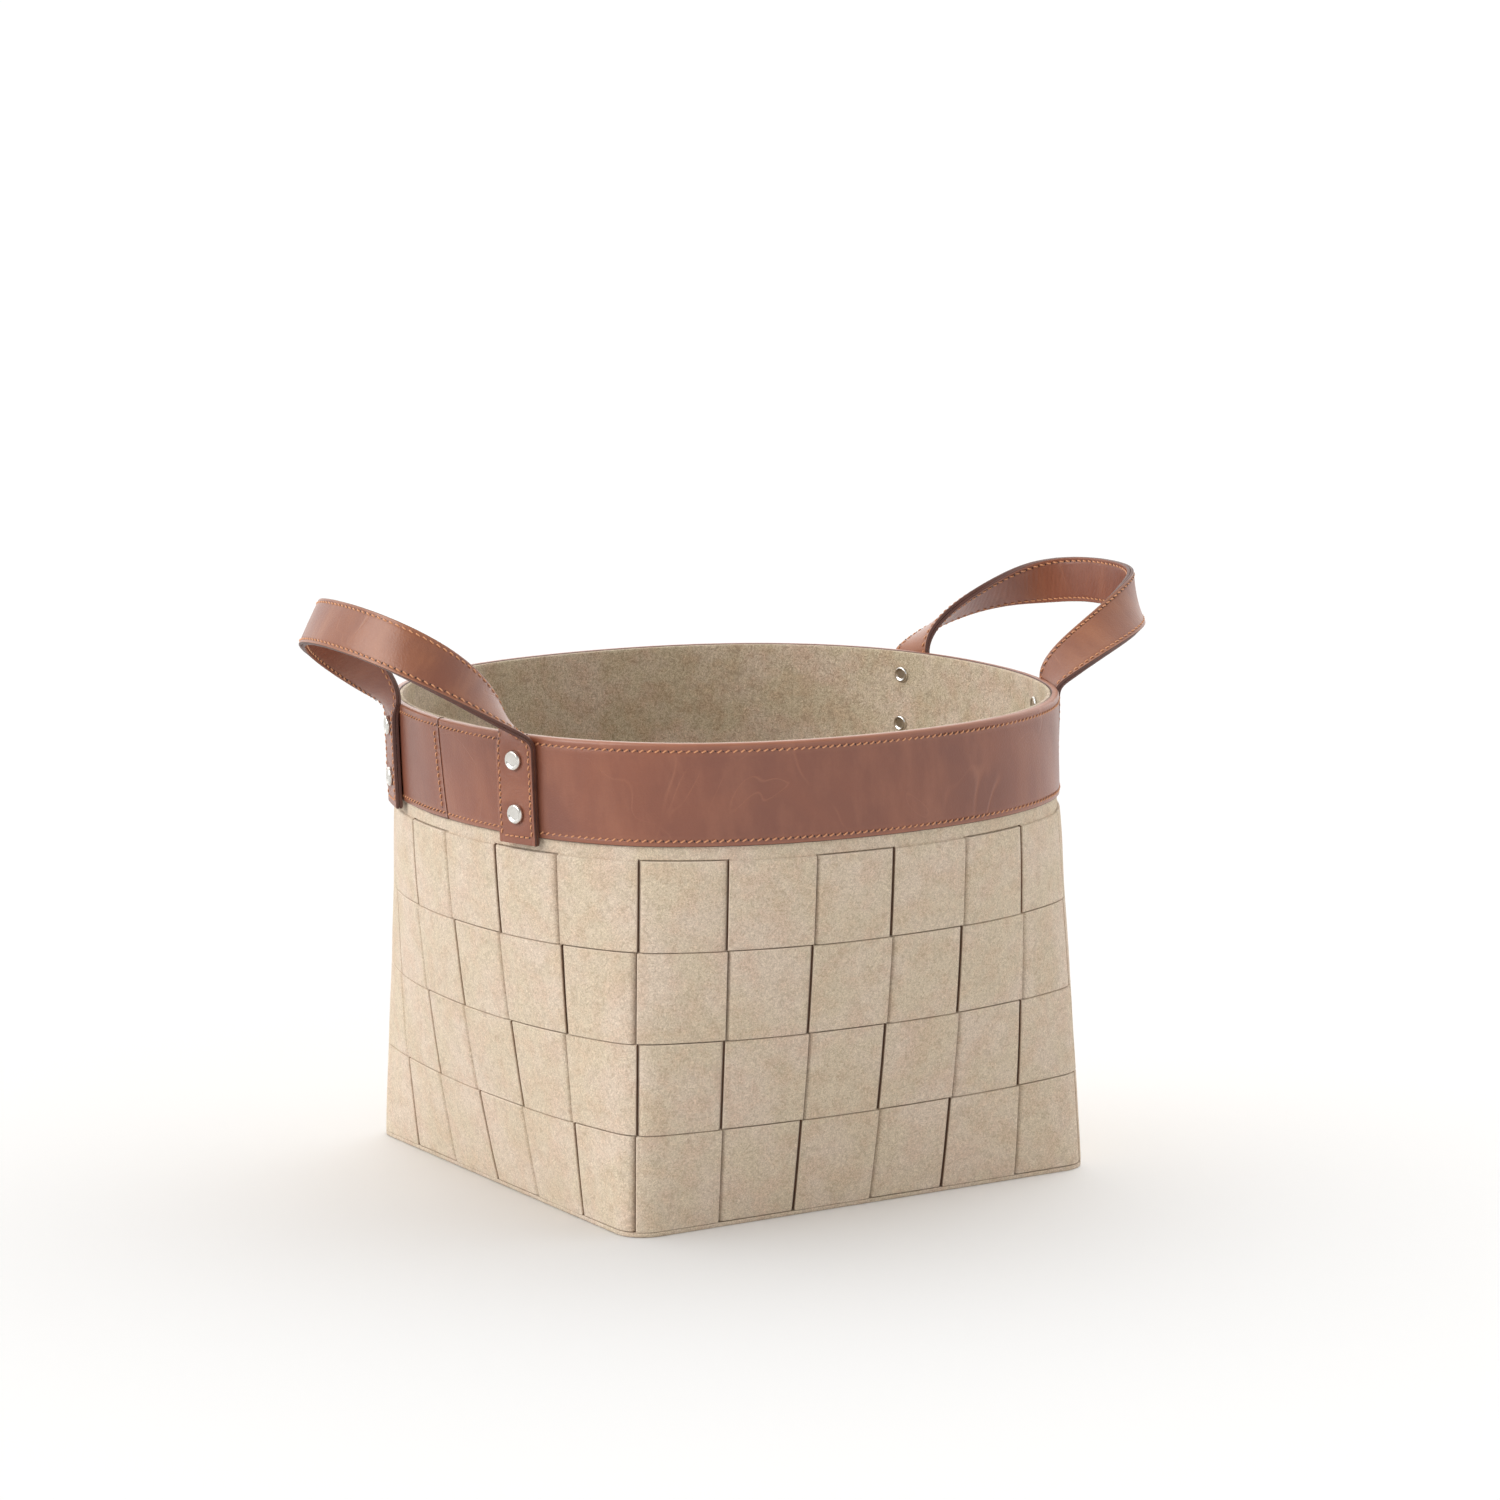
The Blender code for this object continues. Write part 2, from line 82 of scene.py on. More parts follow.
HANDLES = {
    "left": {"side": -1, "reach": 0.0557, "rise": 0.0536, "root_pull": 0.0192, "top_pull": 0.0811,
             "top_lean": math.radians(30.2), "mid_width": (0.046, 0.690, -1.036), "turn_power": 0.676},
    "right": {"side": 1, "reach": 0.0730, "rise": 0.0392, "root_pull": 0.0219, "top_pull": 0.0805,
              "top_lean": math.radians(-3.4), "mid_width": (-0.813, 3.000, -2.484), "turn_power": 0.85},
}

STRIP_OFFSET = (FELT + GAP) / 2
BAND_INNER = FELT / 2 + GAP
BAND_OUTER = BAND_INNER + BAND_LEATHER
SHELL_RIM_RADIUS = RIM_RADIUS - BAND_OUTER
SHELL_BASE_HALF = BASE_HALF - STRIP_OFFSET - FELT / 2
LINING_WOVEN = -(STRIP_OFFSET + FELT / 2 + GAP)
LINING_TOP = -(FELT / 2 + GAP)
WALL_TOP = HEIGHT - BAND_LEATHER - GAP
SHELL_BOTTOM = FELT + GAP
STRAP = 2 * STRAP_LEATHER + GAP
TAB_OFFSET = BAND_OUTER + GAP + STRAP / 2
PERIMETER = 2 * math.pi * SHELL_RIM_RADIUS
COLUMN_WIDTH = PERIMETER / COLUMNS

# ---- what only the looks need ----
SLIT = 0.0002 / COLUMN_WIDTH  # width of a cut between two upright strips, in columns
STRIP_EDGE = 0.0002  # what is trimmed off each edge of a weft strip
FULLNESS = 0.012  # how far the felt wall swells out below the band, as a share
WARP_DIVE = 0.0006  # length in which an upright strip dives under a weft
WEFT_DIVE = 0.0026  # and a weft under an upright strip
EDGE_ROUND = 0.0003
CROWN = 0.00035  # how far the middle of a felt patch stands proud
STITCH_PITCH = 0.0038
STITCH_INSET = 0.0021  # from a strap's edge to its row of stitches
THREAD_RADIUS = 0.00040
BAND_TOP_STITCH = HEIGHT - 0.0040
BAND_BOTTOM_STITCH = BAND_BOTTOM + 0.0031
LAP_COLUMN = 21.03  # the band's lap seam, in the middle of the left side
LAP_SLANT = 2.35  # columns that the seam moves for each metre down
LAP_LENGTH = 0.020
LINING_EDGE_DEPTH = 0.0003  # from the rim's top down to the lining's cut edge
SKIVE = 0.0007  # how much the band's ends are thinned in the lap
LAP_THIN = 0.00035  # how much thinner still the lap's cut edge is
FOOT_STITCH = 0.0040  # from a tab's foot to the row of stitches across it
LAYER_STEPS = {"face": 0.00070, "back": 0.00115}  # between the rings of a strap layer's points
STRAP_LOOP_START = 0.060  # where a strap has left its tab
RIB_PITCH = 0.0029  # of the creases across the loop's hollow side
ROUND_OVER = 0.0020  # length over which a strap eases into each bend
RIVET_CAP = {"radius": 0.0051, "height": 0.0019}
INNER_CAP = {"radius": 0.0044, "height": 0.0014}
RIVET_SEGMENTS = 48

# ---- the studio's sizes ----
FLOOR_WHITE = 0.985
FLOOR_LEVEL = -0.0002
FLOOR_SEGMENTS = 96
FLOOR_RINGS = (0.01, 0.5, 2, 8, 40)
SKY_DIM = 0.17
# the brighter parts of the sky: direction, gain and tightness
SKY_PARTS = (((0.30, 0.80, 0.42), 1.65, 1.0), ((-0.95, -0.10, 0.15), 0.40, 2.0),
             ((-0.1, -1.0, 0.03), 1.15, 6.0), ((0.92, -0.38, 0.10), 1.40, 3.0))

SKY_COLOUR = (1.0, 0.995, 0.985)
KEY_LIGHT = {"direction": (-0.80, 0.08, 0.50), "strength": 2.30, "spread": math.radians(50)}
CAMERA = {"azimuth": math.radians(-30.854), "elevation": math.radians(8.686), "roll": math.radians(-0.56),
          "distance": 2.731, "lens": 123.2, "shift": (0.0175, -0.0401)}

UP = np.array((0.0, 0.0, 1.0))
MIRROR_Y = np.array((1.0, -1.0, 1.0))


# ---- small sums ----
def unit(vectors):
    return vectors / np.linalg.norm(vectors, axis=-1, keepdims=True)


def run_along(points):
    """Distance along a line of points to each of them."""
    return np.concatenate(((0,), np.cumsum(np.linalg.norm(np.diff(points, axis=0), axis=1))))


def grid_of(rows, across):
    """Pairs of numbers for a grid of points."""
    return np.stack(np.broadcast_arrays(rows[:, None], across[None, :]), -1)


def smooth(share):
    share = np.clip(share, 0.0, 1.0)
    return share * share * (3 - 2 * share)


# ---- the wall as a surface ----
def base_outline(column):
    """Points of the shell's rounded square at the floor."""
    inner = SHELL_BASE_HALF - BASE_CORNER_RADIUS
    straight, arc = 2 * inner, math.pi / 2 * BASE_CORNER_RADIUS
    along = np.mod(column, COLUMNS) / COLUMNS_PER_SIDE * (straight + arc)
    side = np.floor(along / (straight + arc))
    run = along - side * (straight + arc)
    first, flat = run < arc / 2, (run >= arc / 2) & (run < arc / 2 + straight)
    turn = np.where(first, -0.75 * math.pi + run / BASE_CORNER_RADIUS,
                    -0.5 * math.pi + (run - arc / 2 - straight) / BASE_CORNER_RADIUS)
    corner = np.where(first, -inner, inner) + BASE_CORNER_RADIUS * np.cos(turn)
    x = np.where(flat, -inner + run - arc / 2, corner)
    y = np.where(flat, -SHELL_BASE_HALF, -inner + BASE_CORNER_RADIUS * np.sin(turn))
    cos, sin = np.cos(side * math.pi / 2), np.sin(side * math.pi / 2)
    return np.stack((x * cos - y * sin, x * sin + y * cos), -1)


def rim_outline(column):
    angle = -0.75 * math.pi + column / COLUMNS * 2 * math.pi
    radius = SHELL_RIM_RADIUS - RIM_RADIUS * RIM_SQUARENESS * np.cos(4 * angle)
    return np.stack((radius * np.cos(angle), radius * np.sin(angle)), -1)


def section(column, height):
    roundness = (1 - (1 - np.minimum(height / HEIGHT, 1.0)) ** FLARE_POWER)[..., None]
    bulge = np.sin(math.pi * np.clip(height / BAND_BOTTOM, 0.0, 1.0))
    full = (1 + FULLNESS * np.maximum(bulge, 0.0) ** 0.7)[..., None]
    return full * ((1 - roundness) * base_outline(column) + roundness * rim_outline(column))


def wall_frame(column, height):
    """The shell's middle points with their level outward directions and directions along the wall."""
    column, height = np.broadcast_arrays(np.asarray(column, float), np.asarray(height, float))
    along = unit(section(column + 0.02, height) - section(column - 0.02, height))
    level = np.zeros(column.shape + (1,))
    outward = np.concatenate((along[..., 1:], -along[..., :1], level), -1)
    middle = np.concatenate((section(column, height), height[..., None]), -1)
    return middle, outward, np.concatenate((along, level), -1)


def wall_point(column, height, offset):
    middle, outward, _ = wall_frame(column, height)
    return middle + outward * np.asarray(offset)[..., None]


# ---- small tools ----
def waves(points, length, seed):
    """Soft unevenness between about -1 and 1, from a few slanted waves of about the given length."""
    rng = np.random.default_rng(seed)
    total = np.zeros(points.shape[:-1])
    for _ in range(6):
        direction = rng.normal(size=3)
        direction *= 2 * math.pi / (length * rng.uniform(0.7, 1.5) * np.linalg.norm(direction))
        total += np.sin(points @ direction + rng.uniform(0, 2 * math.pi))
    return total / 3


def edged(count, edge, close=(0.0, 0.004, 0.009, 0.015, 0.023, 0.033, 0.048, 0.080)):
    """Places across a felt patch from edge to 1 - edge, close together near both edges."""
    near = edge + np.array(close)
    return np.concatenate((near, np.linspace(near[-1], 1 - near[-1], count + 2)[1:-1], 1 - near[::-1]))


def grid_faces(rows, across, closed_rows, closed_across):
    i, j = np.meshgrid(np.arange(rows if closed_rows else rows - 1),
                       np.arange(across if closed_across else across - 1), indexing="ij")
    k, m = (i + 1) % rows, (j + 1) % across
    return np.stack((i * across + j, i * across + m, k * across + m, k * across + j), -1).reshape(-1, 4)


def end_faces(first, across):
    """A cap over one ring of a tube: a row of faces between its two long sides."""
    k = np.arange(across // 2 - 1)
    return first + np.stack((k, k + 1, across - 2 - k, across - 1 - k), -1)


def capped(faces, rings, around):
    """The faces of a tube of rings with a cap added over each end."""
    return np.concatenate((faces, end_faces(0, around)[:, ::-1], end_faces((rings - 1) * around, around)))


class Body:
    """Closed skins gathered for one mesh, with a place on the surface, a finish and a value at each point for
    wear and for painted light and shade.
    """

    def __init__(self):
        self.points, self.faces, self.slots, self.places, self.wear_and_painted_light, self.count = [], [], [], [], [], 0

    def add(self, points, quads, slots=0, places=None, wear_and_painted_light=0.0, triangles=None, triangle_slot=0):
        """Adds one closed skin of quads, and of triangles too where it has any, with its faces turned out."""
        points = np.asarray(points, float).reshape(-1, 3)
        triangles = np.zeros((0, 3), int) if triangles is None else triangles
        halves = np.concatenate((quads[:, :3], quads[:, [0, 2, 3]], triangles))
        a, b, c = (points[halves[:, k]] for k in range(3))
        turn = slice(None, None, -1 if (a * np.cross(b, c)).sum() < 0 else 1)
        self.points.append(points)
        for faces, finish in ((quads, slots), (triangles, triangle_slot)):
            if len(faces):
                self.faces.append(faces[:, turn] + self.count)
                self.slots.append(np.broadcast_to(finish, len(faces)))
        self.places.append(np.zeros((len(points), 2)) if places is None else places.reshape(-1, 2))
        self.wear_and_painted_light.append(np.broadcast_to(np.asarray(wear_and_painted_light, float).reshape(-1), len(points)))
        self.count += len(points)

    def build(self, name, materials, sharp=50):
        mesh = bpy.data.meshes.new(name)
        points = np.concatenate(self.points)
        mesh.from_pydata(points.tolist(), [], [face for part in self.faces for face in part.tolist()])
        mesh.polygons.foreach_set("material_index", np.concatenate(self.slots).astype(np.int32))
        corners = np.zeros(len(mesh.loops), np.int32)
        mesh.loops.foreach_get("vertex_index", corners)
        layer = mesh.uv_layers.new(name="surface")
        layer.data.foreach_set("uv", np.concatenate(self.places)[corners].astype(np.float32).ravel())
        wear_and_painted_light = mesh.attributes.new("wear_and_painted_light", "FLOAT", "POINT")
        wear_and_painted_light.data.foreach_set("value", np.concatenate(self.wear_and_painted_light).astype(np.float32))
        mesh.shade_smooth()
        mesh.set_sharp_from_angle(angle=math.radians(sharp))
        for material in materials:
            mesh.materials.append(material)
        obj = bpy.data.objects.new(name, mesh)
        bpy.context.scene.collection.objects.link(obj)
        return obj


# ---- materials ----
class Nodes:
    """Short calls for building the node tree of one material, or of the world."""

    def __init__(self, name, kind="materials"):
        self.material = getattr(bpy.data, kind).new(name)
        self.material.use_nodes = True
        self.tree = self.material.node_tree
        self.shader = self.tree.nodes.get("Principled BSDF")

    def add(self, kind, settings=None, **inputs):
        node = self.tree.nodes.new(kind)
        for key, value in (settings or {}).items():
            setattr(node, key, value)
        for key, value in inputs.items():
            self.feed(node.inputs[key.replace("_", " ")], value)
        return node

    def feed(self, socket, value):
        if isinstance(value, bpy.types.NodeSocket):
            self.tree.links.new(value, socket)
        else:
            socket.default_value = value

    def set(self, **inputs):
        for key, value in inputs.items():
            self.feed(self.shader.inputs[key.replace("_", " ")], value)

    def coordinates(self, surface, stretch=(1.0, 1.0, 1.0)):
        """Places in metres: along the surface for a piece that bends, or else in the object."""
        if surface:
            place = self.add("ShaderNodeUVMap", {"uv_map": "surface"}).outputs["UV"]
        else:
            place = self.add("ShaderNodeTexCoord").outputs["Object"]
        return self.add("ShaderNodeMapping", Vector=place, Scale=stretch).outputs["Vector"]

    def noise(self, place, per_metre, detail=3.0, roughness=0.5, distortion=0.0):
        node = self.add("ShaderNodeTexNoise", Vector=place, Scale=per_metre, Detail=detail,
                        Roughness=roughness, Distortion=distortion)
        return node.outputs["Fac"]

    def ramp(self, value, low, high, start=0.0, end=1.0):
        """Maps value from low..high to start..end, held at both ends."""
        node = self.add("ShaderNodeMapRange", {"clamp": True}, Value=value)
        for key, number in (("From Min", low), ("From Max", high), ("To Min", start), ("To Max", end)):
            node.inputs[key].default_value = number
        return node.outputs["Result"]

    def math(self, operation, first, second=0.0):
        node = self.add("ShaderNodeMath", {"operation": operation})
        self.feed(node.inputs[0], first)
        self.feed(node.inputs[1], second)
        return node.outputs["Value"]

    def mix(self, share, first, second, blend="MIX"):
        node = self.add("ShaderNodeMix", {"data_type": "RGBA", "blend_type": blend})
        self.feed(node.inputs["Factor"], share)
        self.feed(node.inputs[6], first)
        self.feed(node.inputs[7], second)
        return node.outputs[2]

    def bump(self, height, distance, strength=1.0, normal=None):
        node = self.add("ShaderNodeBump", Height=height, Distance=distance, Strength=strength)
        if normal is not None:
            self.feed(node.inputs["Normal"], normal)
        return node.outputs["Normal"]

    def wear_and_painted_light(self):
        return self.add("ShaderNodeAttribute", {"attribute_name": "wear_and_painted_light"}).outputs["Fac"]


def colour(red, green, blue):
    return (red, green, blue, 1.0)


def felt(name, light, dark, pink, olive, crevice_shade):
    """Heathered wool felt: matted fibres of several shades, in soft pinkish and olive patches, with a painted
    highlight on the strips' raised edges and painted shade in their cuts and grooves.
    """
    n = Nodes(name)
    place = n.coordinates(False)
    patches = n.noise(place, 85, 3, 0.6)
    clouds = n.noise(place, 36, 3, 0.55)
    flecks = n.noise(place, 270, 3, 0.65, 1.6)
    fibres = n.noise(place, 620, 4, 0.65, 2.4)
    specks = n.noise(place, 1300, 3, 0.75, 0.8)
    blend = n.math("ADD", n.math("MULTIPLY", fibres, 0.5), n.math("MULTIPLY", specks, 0.5))
    shade = n.mix(n.ramp(blend, 0.38, 0.60), dark, light)
    shade = n.mix(n.ramp(flecks, 0.50, 0.66, 0.0, 0.60), shade, dark)
    tinted = n.mix(n.ramp(patches, 0.44, 0.62, 0.0, 0.8), shade, pink, "MULTIPLY")
    tinted = n.mix(n.ramp(clouds, 0.42, 0.62, 1.0, 0.0), tinted, olive, "MULTIPLY")
    wear_and_painted_light = n.wear_and_painted_light()
    # Painted highlight: the raised edges of the strips are lightened towards the light fibre colour.
    painted_lips_and_crevices = n.mix(n.ramp(wear_and_painted_light, 0.0, 1.0, 0.0, 0.6), tinted, light)
    # Painted shade: the slits' cut walls and the grooves where a strip dives are darkened towards the crevice
    # shade colour.
    painted_lips_and_crevices = n.mix(n.ramp(wear_and_painted_light, 0.0, -1.0), painted_lips_and_crevices, crevice_shade)
    n.set(Base_Color=painted_lips_and_crevices, Roughness=n.ramp(fibres, 0.3, 0.7, 0.88, 1.0), Specular_IOR_Level=0.2,
          Sheen_Weight=0.22, Sheen_Roughness=0.6, Sheen_Tint=colour(1.0, 0.95, 0.88))
    coarse = n.bump(patches, 0.0012, 0.5)
    n.set(Normal=n.bump(n.math("ADD", blend, n.math("MULTIPLY", flecks, 0.6)), 0.0009, 0.9, coarse))
    return n.material


def leather(name, base, pulled, shadow, wrinkles=0.0):
    """Brown pull-up leather: a satin waxed face that pales where it was creased or stretched, and where a
    highlight is painted on.
    """
    n = Nodes(name)
    place = n.coordinates(True)
    smudges = n.noise(place, 16, 3, 0.5, 0.5)
    streaks = n.noise(n.coordinates(True, (1.0, 0.35, 0.35)), 60, 4, 0.6)
    sweep = n.noise(place, 8, 2.5, 0.55, 0.7)
    line = n.ramp(n.math("ABSOLUTE", n.math("SUBTRACT", sweep, 0.5)), 0.0, 0.0075, 1.0, 0.0)
    crossing = n.noise(place, 13, 2, 0.5, 1.0)
    offset = n.math("ABSOLUTE", n.math("SUBTRACT", crossing, 0.46))
    line = n.math("MAXIMUM", line, n.ramp(offset, 0.0, 0.006, 0.8, 0.0))
    some = n.ramp(n.noise(place, 24, 2, 0.5), 0.44, 0.60)
    crease = n.math("MULTIPLY", line, some)
    pores = n.add("ShaderNodeTexVoronoi", {"feature": "F1"}, Vector=place, Scale=1050, Randomness=1.0)
    grain = n.noise(place, 900, 4, 0.6)
    body = n.mix(n.ramp(smudges, 0.34, 0.66, 0.0, 0.75), base, shadow)
    body = n.mix(n.ramp(streaks, 0.45, 0.75, 0.0, 0.35), body, pulled)
    body = n.mix(n.math("MULTIPLY", crease, 0.38), body, pulled)
    body = n.mix(n.math("MULTIPLY", n.ramp(grain, 0.35, 0.7), 0.16), body, shadow)
    # Paler where the per-point value is high: the band's lap end, a partly burnished, partly painted
    # highlight on the band's top roll, and a painted sheen along the straps' edges.
    body = n.mix(n.math("MULTIPLY", n.wear_and_painted_light(), 0.75), body, pulled)
    polish = n.math("ADD", n.math("MULTIPLY", smudges, 0.6), n.math("MULTIPLY", grain, 0.4))
    rough = n.ramp(polish, 0.3, 0.7, 0.28, 0.44)
    n.set(Base_Color=body, Roughness=rough, Specular_IOR_Level=0.5, Coat_Weight=0.12, Coat_Roughness=0.22)
    normal = n.bump(n.math("ADD", n.math("MULTIPLY", pores.outputs["Distance"], 0.5), grain), 0.00022, 0.5)
    normal = n.bump(crease, -0.0003, 0.5, normal)
    if wrinkles:
        folds = n.noise(n.coordinates(True, (1.0, 0.14, 1.0)), 380, 3, 0.55, 0.8)
        normal = n.bump(folds, 0.0006, wrinkles, normal)
    n.set(Normal=normal)
    return n.material


def cut_leather(name, base, light):
    """A burnished cut edge: darker than the face, with the layers' grain along it."""
    n = Nodes(name)
    place = n.coordinates(True)
    fibre = n.noise(n.coordinates(True, (0.25, 3.0, 3.0)), 700, 3, 0.6)
    patches = n.noise(place, 90, 3, 0.5)
    body = n.mix(n.ramp(fibre, 0.35, 0.7, 0.0, 0.5), base, light)
    body = n.mix(n.ramp(patches, 0.4, 0.7, 0.0, 0.3), body, light)
    n.set(Base_Color=body, Roughness=n.ramp(patches, 0.3, 0.7, 0.42, 0.58), Normal=n.bump(fibre, 0.0002, 0.5))
    return n.material


def thread(name, base, dark):
    n = Nodes(name)
    place = n.coordinates(True)
    strands = n.noise(place, 1800, 3, 0.6)
    soiling = n.noise(place, 45, 2, 0.5)
    body = n.mix(n.ramp(strands, 0.35, 0.65), base, dark)
    body = n.mix(n.ramp(soiling, 0.4, 0.7, 0.0, 0.35), body, dark)
    rough = n.ramp(strands, 0.3, 0.7, 0.34, 0.50)
    n.set(Base_Color=body, Roughness=rough, Normal=n.bump(strands, 0.0002, 0.6))
    return n.material


def nickel(name):
    n = Nodes(name)
    place = n.coordinates(False)
    scuffs = n.noise(n.coordinates(False, (1.0, 6.0, 1.0)), 700, 4, 0.6)
    tarnish = n.noise(place, 260, 3, 0.5)
    body = n.mix(n.ramp(tarnish, 0.4, 0.75, 0.0, 0.4), colour(0.72, 0.70, 0.66), colour(0.55, 0.52, 0.47))
    n.set(Base_Color=body, Metallic=1.0, Roughness=n.ramp(scuffs, 0.35, 0.7, 0.11, 0.24),
          Normal=n.bump(scuffs, 0.00005, 0.25))
    return n.material


def greyboard(name):
    n = Nodes(name)
    place = n.coordinates(False)
    pulp = n.noise(place, 900, 4, 0.6, 0.8)
    body = n.mix(n.ramp(pulp, 0.35, 0.65), colour(0.30, 0.27, 0.24), colour(0.40, 0.37, 0.33))
    n.set(Base_Color=body, Roughness=n.ramp(pulp, 0.3, 0.7, 0.85, 0.95), Normal=n.bump(pulp, 0.0002, 0.4))
    return n.material


# Painted shade colour for the slits and grooves of the weave.
FELT_CREVICE_SHADE = colour(0.19, 0.100, 0.058)
WEAVE_FELT = felt("woven_felt", colour(0.80, 0.67, 0.54), colour(0.46, 0.36, 0.27),
                  colour(0.97, 0.90, 0.87), colour(0.95, 0.96, 0.90), FELT_CREVICE_SHADE)
LINING_FELT = felt("lining_felt", colour(0.76, 0.63, 0.49), colour(0.33, 0.25, 0.18),
                   colour(0.94, 0.85, 0.81), colour(0.90, 0.92, 0.84), FELT_CREVICE_SHADE)
LEATHER_BASE = colour(0.235, 0.078, 0.042)
LEATHER_PULLED = colour(0.37, 0.150, 0.082)
LEATHER_SHADOW = colour(0.165, 0.056, 0.036)
BAND_SKIN = leather("band_leather", LEATHER_BASE, LEATHER_PULLED, LEATHER_SHADOW)
# The back layer's lighter, yellower brown and the face layer's darker band brown are partly one leather in
# lit and shaded tones: painted light on the loop's near arm and painted shade on its hollow far arm.
STRAP_SKIN_LIT = leather("strap_leather", colour(0.29, 0.105, 0.047), colour(0.43, 0.190, 0.095),
                     LEATHER_SHADOW, 0.10)
STRAP_CREASED_SHADED = leather("strap_leather_creased", LEATHER_BASE, LEATHER_PULLED, LEATHER_SHADOW, 0.4)
BURNISHED = cut_leather("burnished_edge", colour(0.072, 0.026, 0.018), colour(0.14, 0.050, 0.033))
# Painted shade: a near-black finish for the dark lens that stands in for the shade inside each needle hole.
NEEDLE_HOLE_SHADE = cut_leather("needle_hole_shade", colour(0.030, 0.010, 0.006), colour(0.05, 0.018, 0.010))
THREAD = thread("sewing_thread", colour(0.67, 0.32, 0.155), colour(0.47, 0.195, 0.088))
NICKEL = nickel("nickel")
BOARD = greyboard("greyboard")


# ---- felt pieces ----
def over(column, row):
    """Whether the upright strip passes over the weft strip."""
    return (column + row) % 2 == 1


def row_span(row):
    """Lowest and highest point of a weft row; the lowest row stands on the base panel."""
    top = WEAVE_TOP - row * ROW_PITCH
    return (top - ROW_PITCH if row < ROWS - 1 else SHELL_BOTTOM), top


def patch_lift(column, row, across, up):
    """How far one felt patch stands proud of flat: a soft crown that differs from patch to patch."""
    rng = np.random.default_rng(100 + column * ROWS + row)
    crown = CROWN * rng.uniform(0.4, 1.5)
    tilt, twist = rng.uniform(-0.00015, 0.00015, 2)
    window = np.sin(math.pi * across) ** 0.5 * np.sin(math.pi * up) ** 0.5
    dome_part = crown * np.sin(math.pi * across) * np.sin(math.pi * up)
    return window * (dome_part + tilt * (across - 0.5) + twist * (up - 0.5))


def strip_section(places, thickness, rounding):
    """Offsets of a strip's outer and inner face at places across it, with rounded edges."""
    drop = np.zeros(len(places))
    drop[[0, -1]] = rounding
    drop[[1, -2]] = rounding * 0.30
    drop[[2, -3]] = rounding * 0.04
    return thickness / 2 - drop, -thickness / 2 + drop


def shell_heights():
    """Heights of the shell's points, and how many of them the slits reach."""
    weave = []
    for row in reversed(range(ROWS)):
        bottom, top = row_span(row)
        weave += list(bottom + (top - bottom) * edged(12, 0.0))[(0 if row == ROWS - 1 else 1):]
    weave += [WEAVE_TOP + WARP_DIVE * share for share in (0.25, 0.5, 0.75, 1.0)]
    top = [WEAVE_TOP + WARP_DIVE + 0.0006, BAND_BOTTOM - 0.002, BAND_BOTTOM, BAND_BOTTOM + 0.004]
    top += list(np.linspace(BAND_BOTTOM + 0.012, WALL_TOP, 5))
    return np.array(weave + top), len(weave)


def warp_offset(column, heights):
    """The middle of an upright strip, off the middle of the shell, at each height."""
    offset = np.zeros(len(heights))
    for row in range(ROWS):
        bottom, top = row_span(row)
        inside = (heights >= bottom - 1e-9) & (heights <= top + 1e-9)
        if over(column, row):
            up = dive_share((heights - bottom) / WARP_DIVE)
            down = dive_share((top - heights) / WARP_DIVE)
            low = 1.0 if row == ROWS - 1 else up
            high = 0.5 + 0.5 * down if row == 0 else down
            offset[inside] = (STRIP_OFFSET * (2 * np.minimum(low, high) - 1))[inside]
        else:
            offset[inside] = -STRIP_OFFSET
    if not over(column, 0):
        above = heights > WEAVE_TOP
        offset[above] = (-STRIP_OFFSET * (1 - smooth((heights - WEAVE_TOP) / WARP_DIVE)))[above]
    return offset


def dive_share(share):
    """A strip's rise out of a slit: steep at the slit, then levelling off."""
    return np.sin(np.clip(share, 0.0, 1.0) * math.pi / 2)


def make_shell():
    """One felt sheet round the bin, slit into 24 upright strips that dive over and under the wefts."""
    heights, slit_rows = shell_heights()
    open_rows = np.arange(len(heights)) < slit_rows
    across = edged(10, 0.0)
    count = len(across)
    rings, wear_and_painted_light = [], []
    for column in range(COLUMNS):
        gap = np.where(open_rows, SLIT / 2, 0.0)
        places = gap[:, None] + across[None, :] * (1 - 2 * gap[:, None])
        middle = warp_offset(column, heights)
        lift = np.zeros((len(heights), count))
        for row in range(ROWS):
            bottom, top = row_span(row)
            up = (heights - bottom) / (top - bottom)
            inside = (up > 0) & (up < 1)
            if over(column, row):
                lift[inside] = patch_lift(column, row, across[None, :], up[inside][:, None])
        outer = np.repeat(FELT / 2 * np.ones(count)[None, :], len(heights), 0)
        for k, share in ((0, 1.0), (1, 0.30), (2, 0.04)):
            drop = EDGE_ROUND * share * open_rows
            outer[:, k] -= drop
            outer[:, -1 - k] -= drop
        face = wall_point(column + places, heights[:, None], middle[:, None] + lift + outer)
        back = wall_point(column + places, heights[:, None], middle[:, None] - outer)
        rings.append(np.concatenate((face, back[:, ::-1]), 1))
        painted_lips_and_crevices = np.zeros((len(heights), 2 * count))
        over_rows = np.zeros(len(heights), bool)
        for row in range(ROWS):
            bottom, top = row_span(row)
            if over(column, row):
                over_rows |= (heights > bottom + WARP_DIVE) & (heights < top - WARP_DIVE)
        # Painted highlight along the raised upright strip's edges.
        for k in (0, 1, count - 2, count - 1):
            painted_lips_and_crevices[over_rows, k] = 0.7
        # Painted shade down the cut walls of the slits.
        for k in (count, 2 * count - 1):
            painted_lips_and_crevices[open_rows, k] = -2.0
        wear_and_painted_light.append(painted_lips_and_crevices)
    return weld_columns(np.array(rings), np.array(wear_and_painted_light), open_rows)


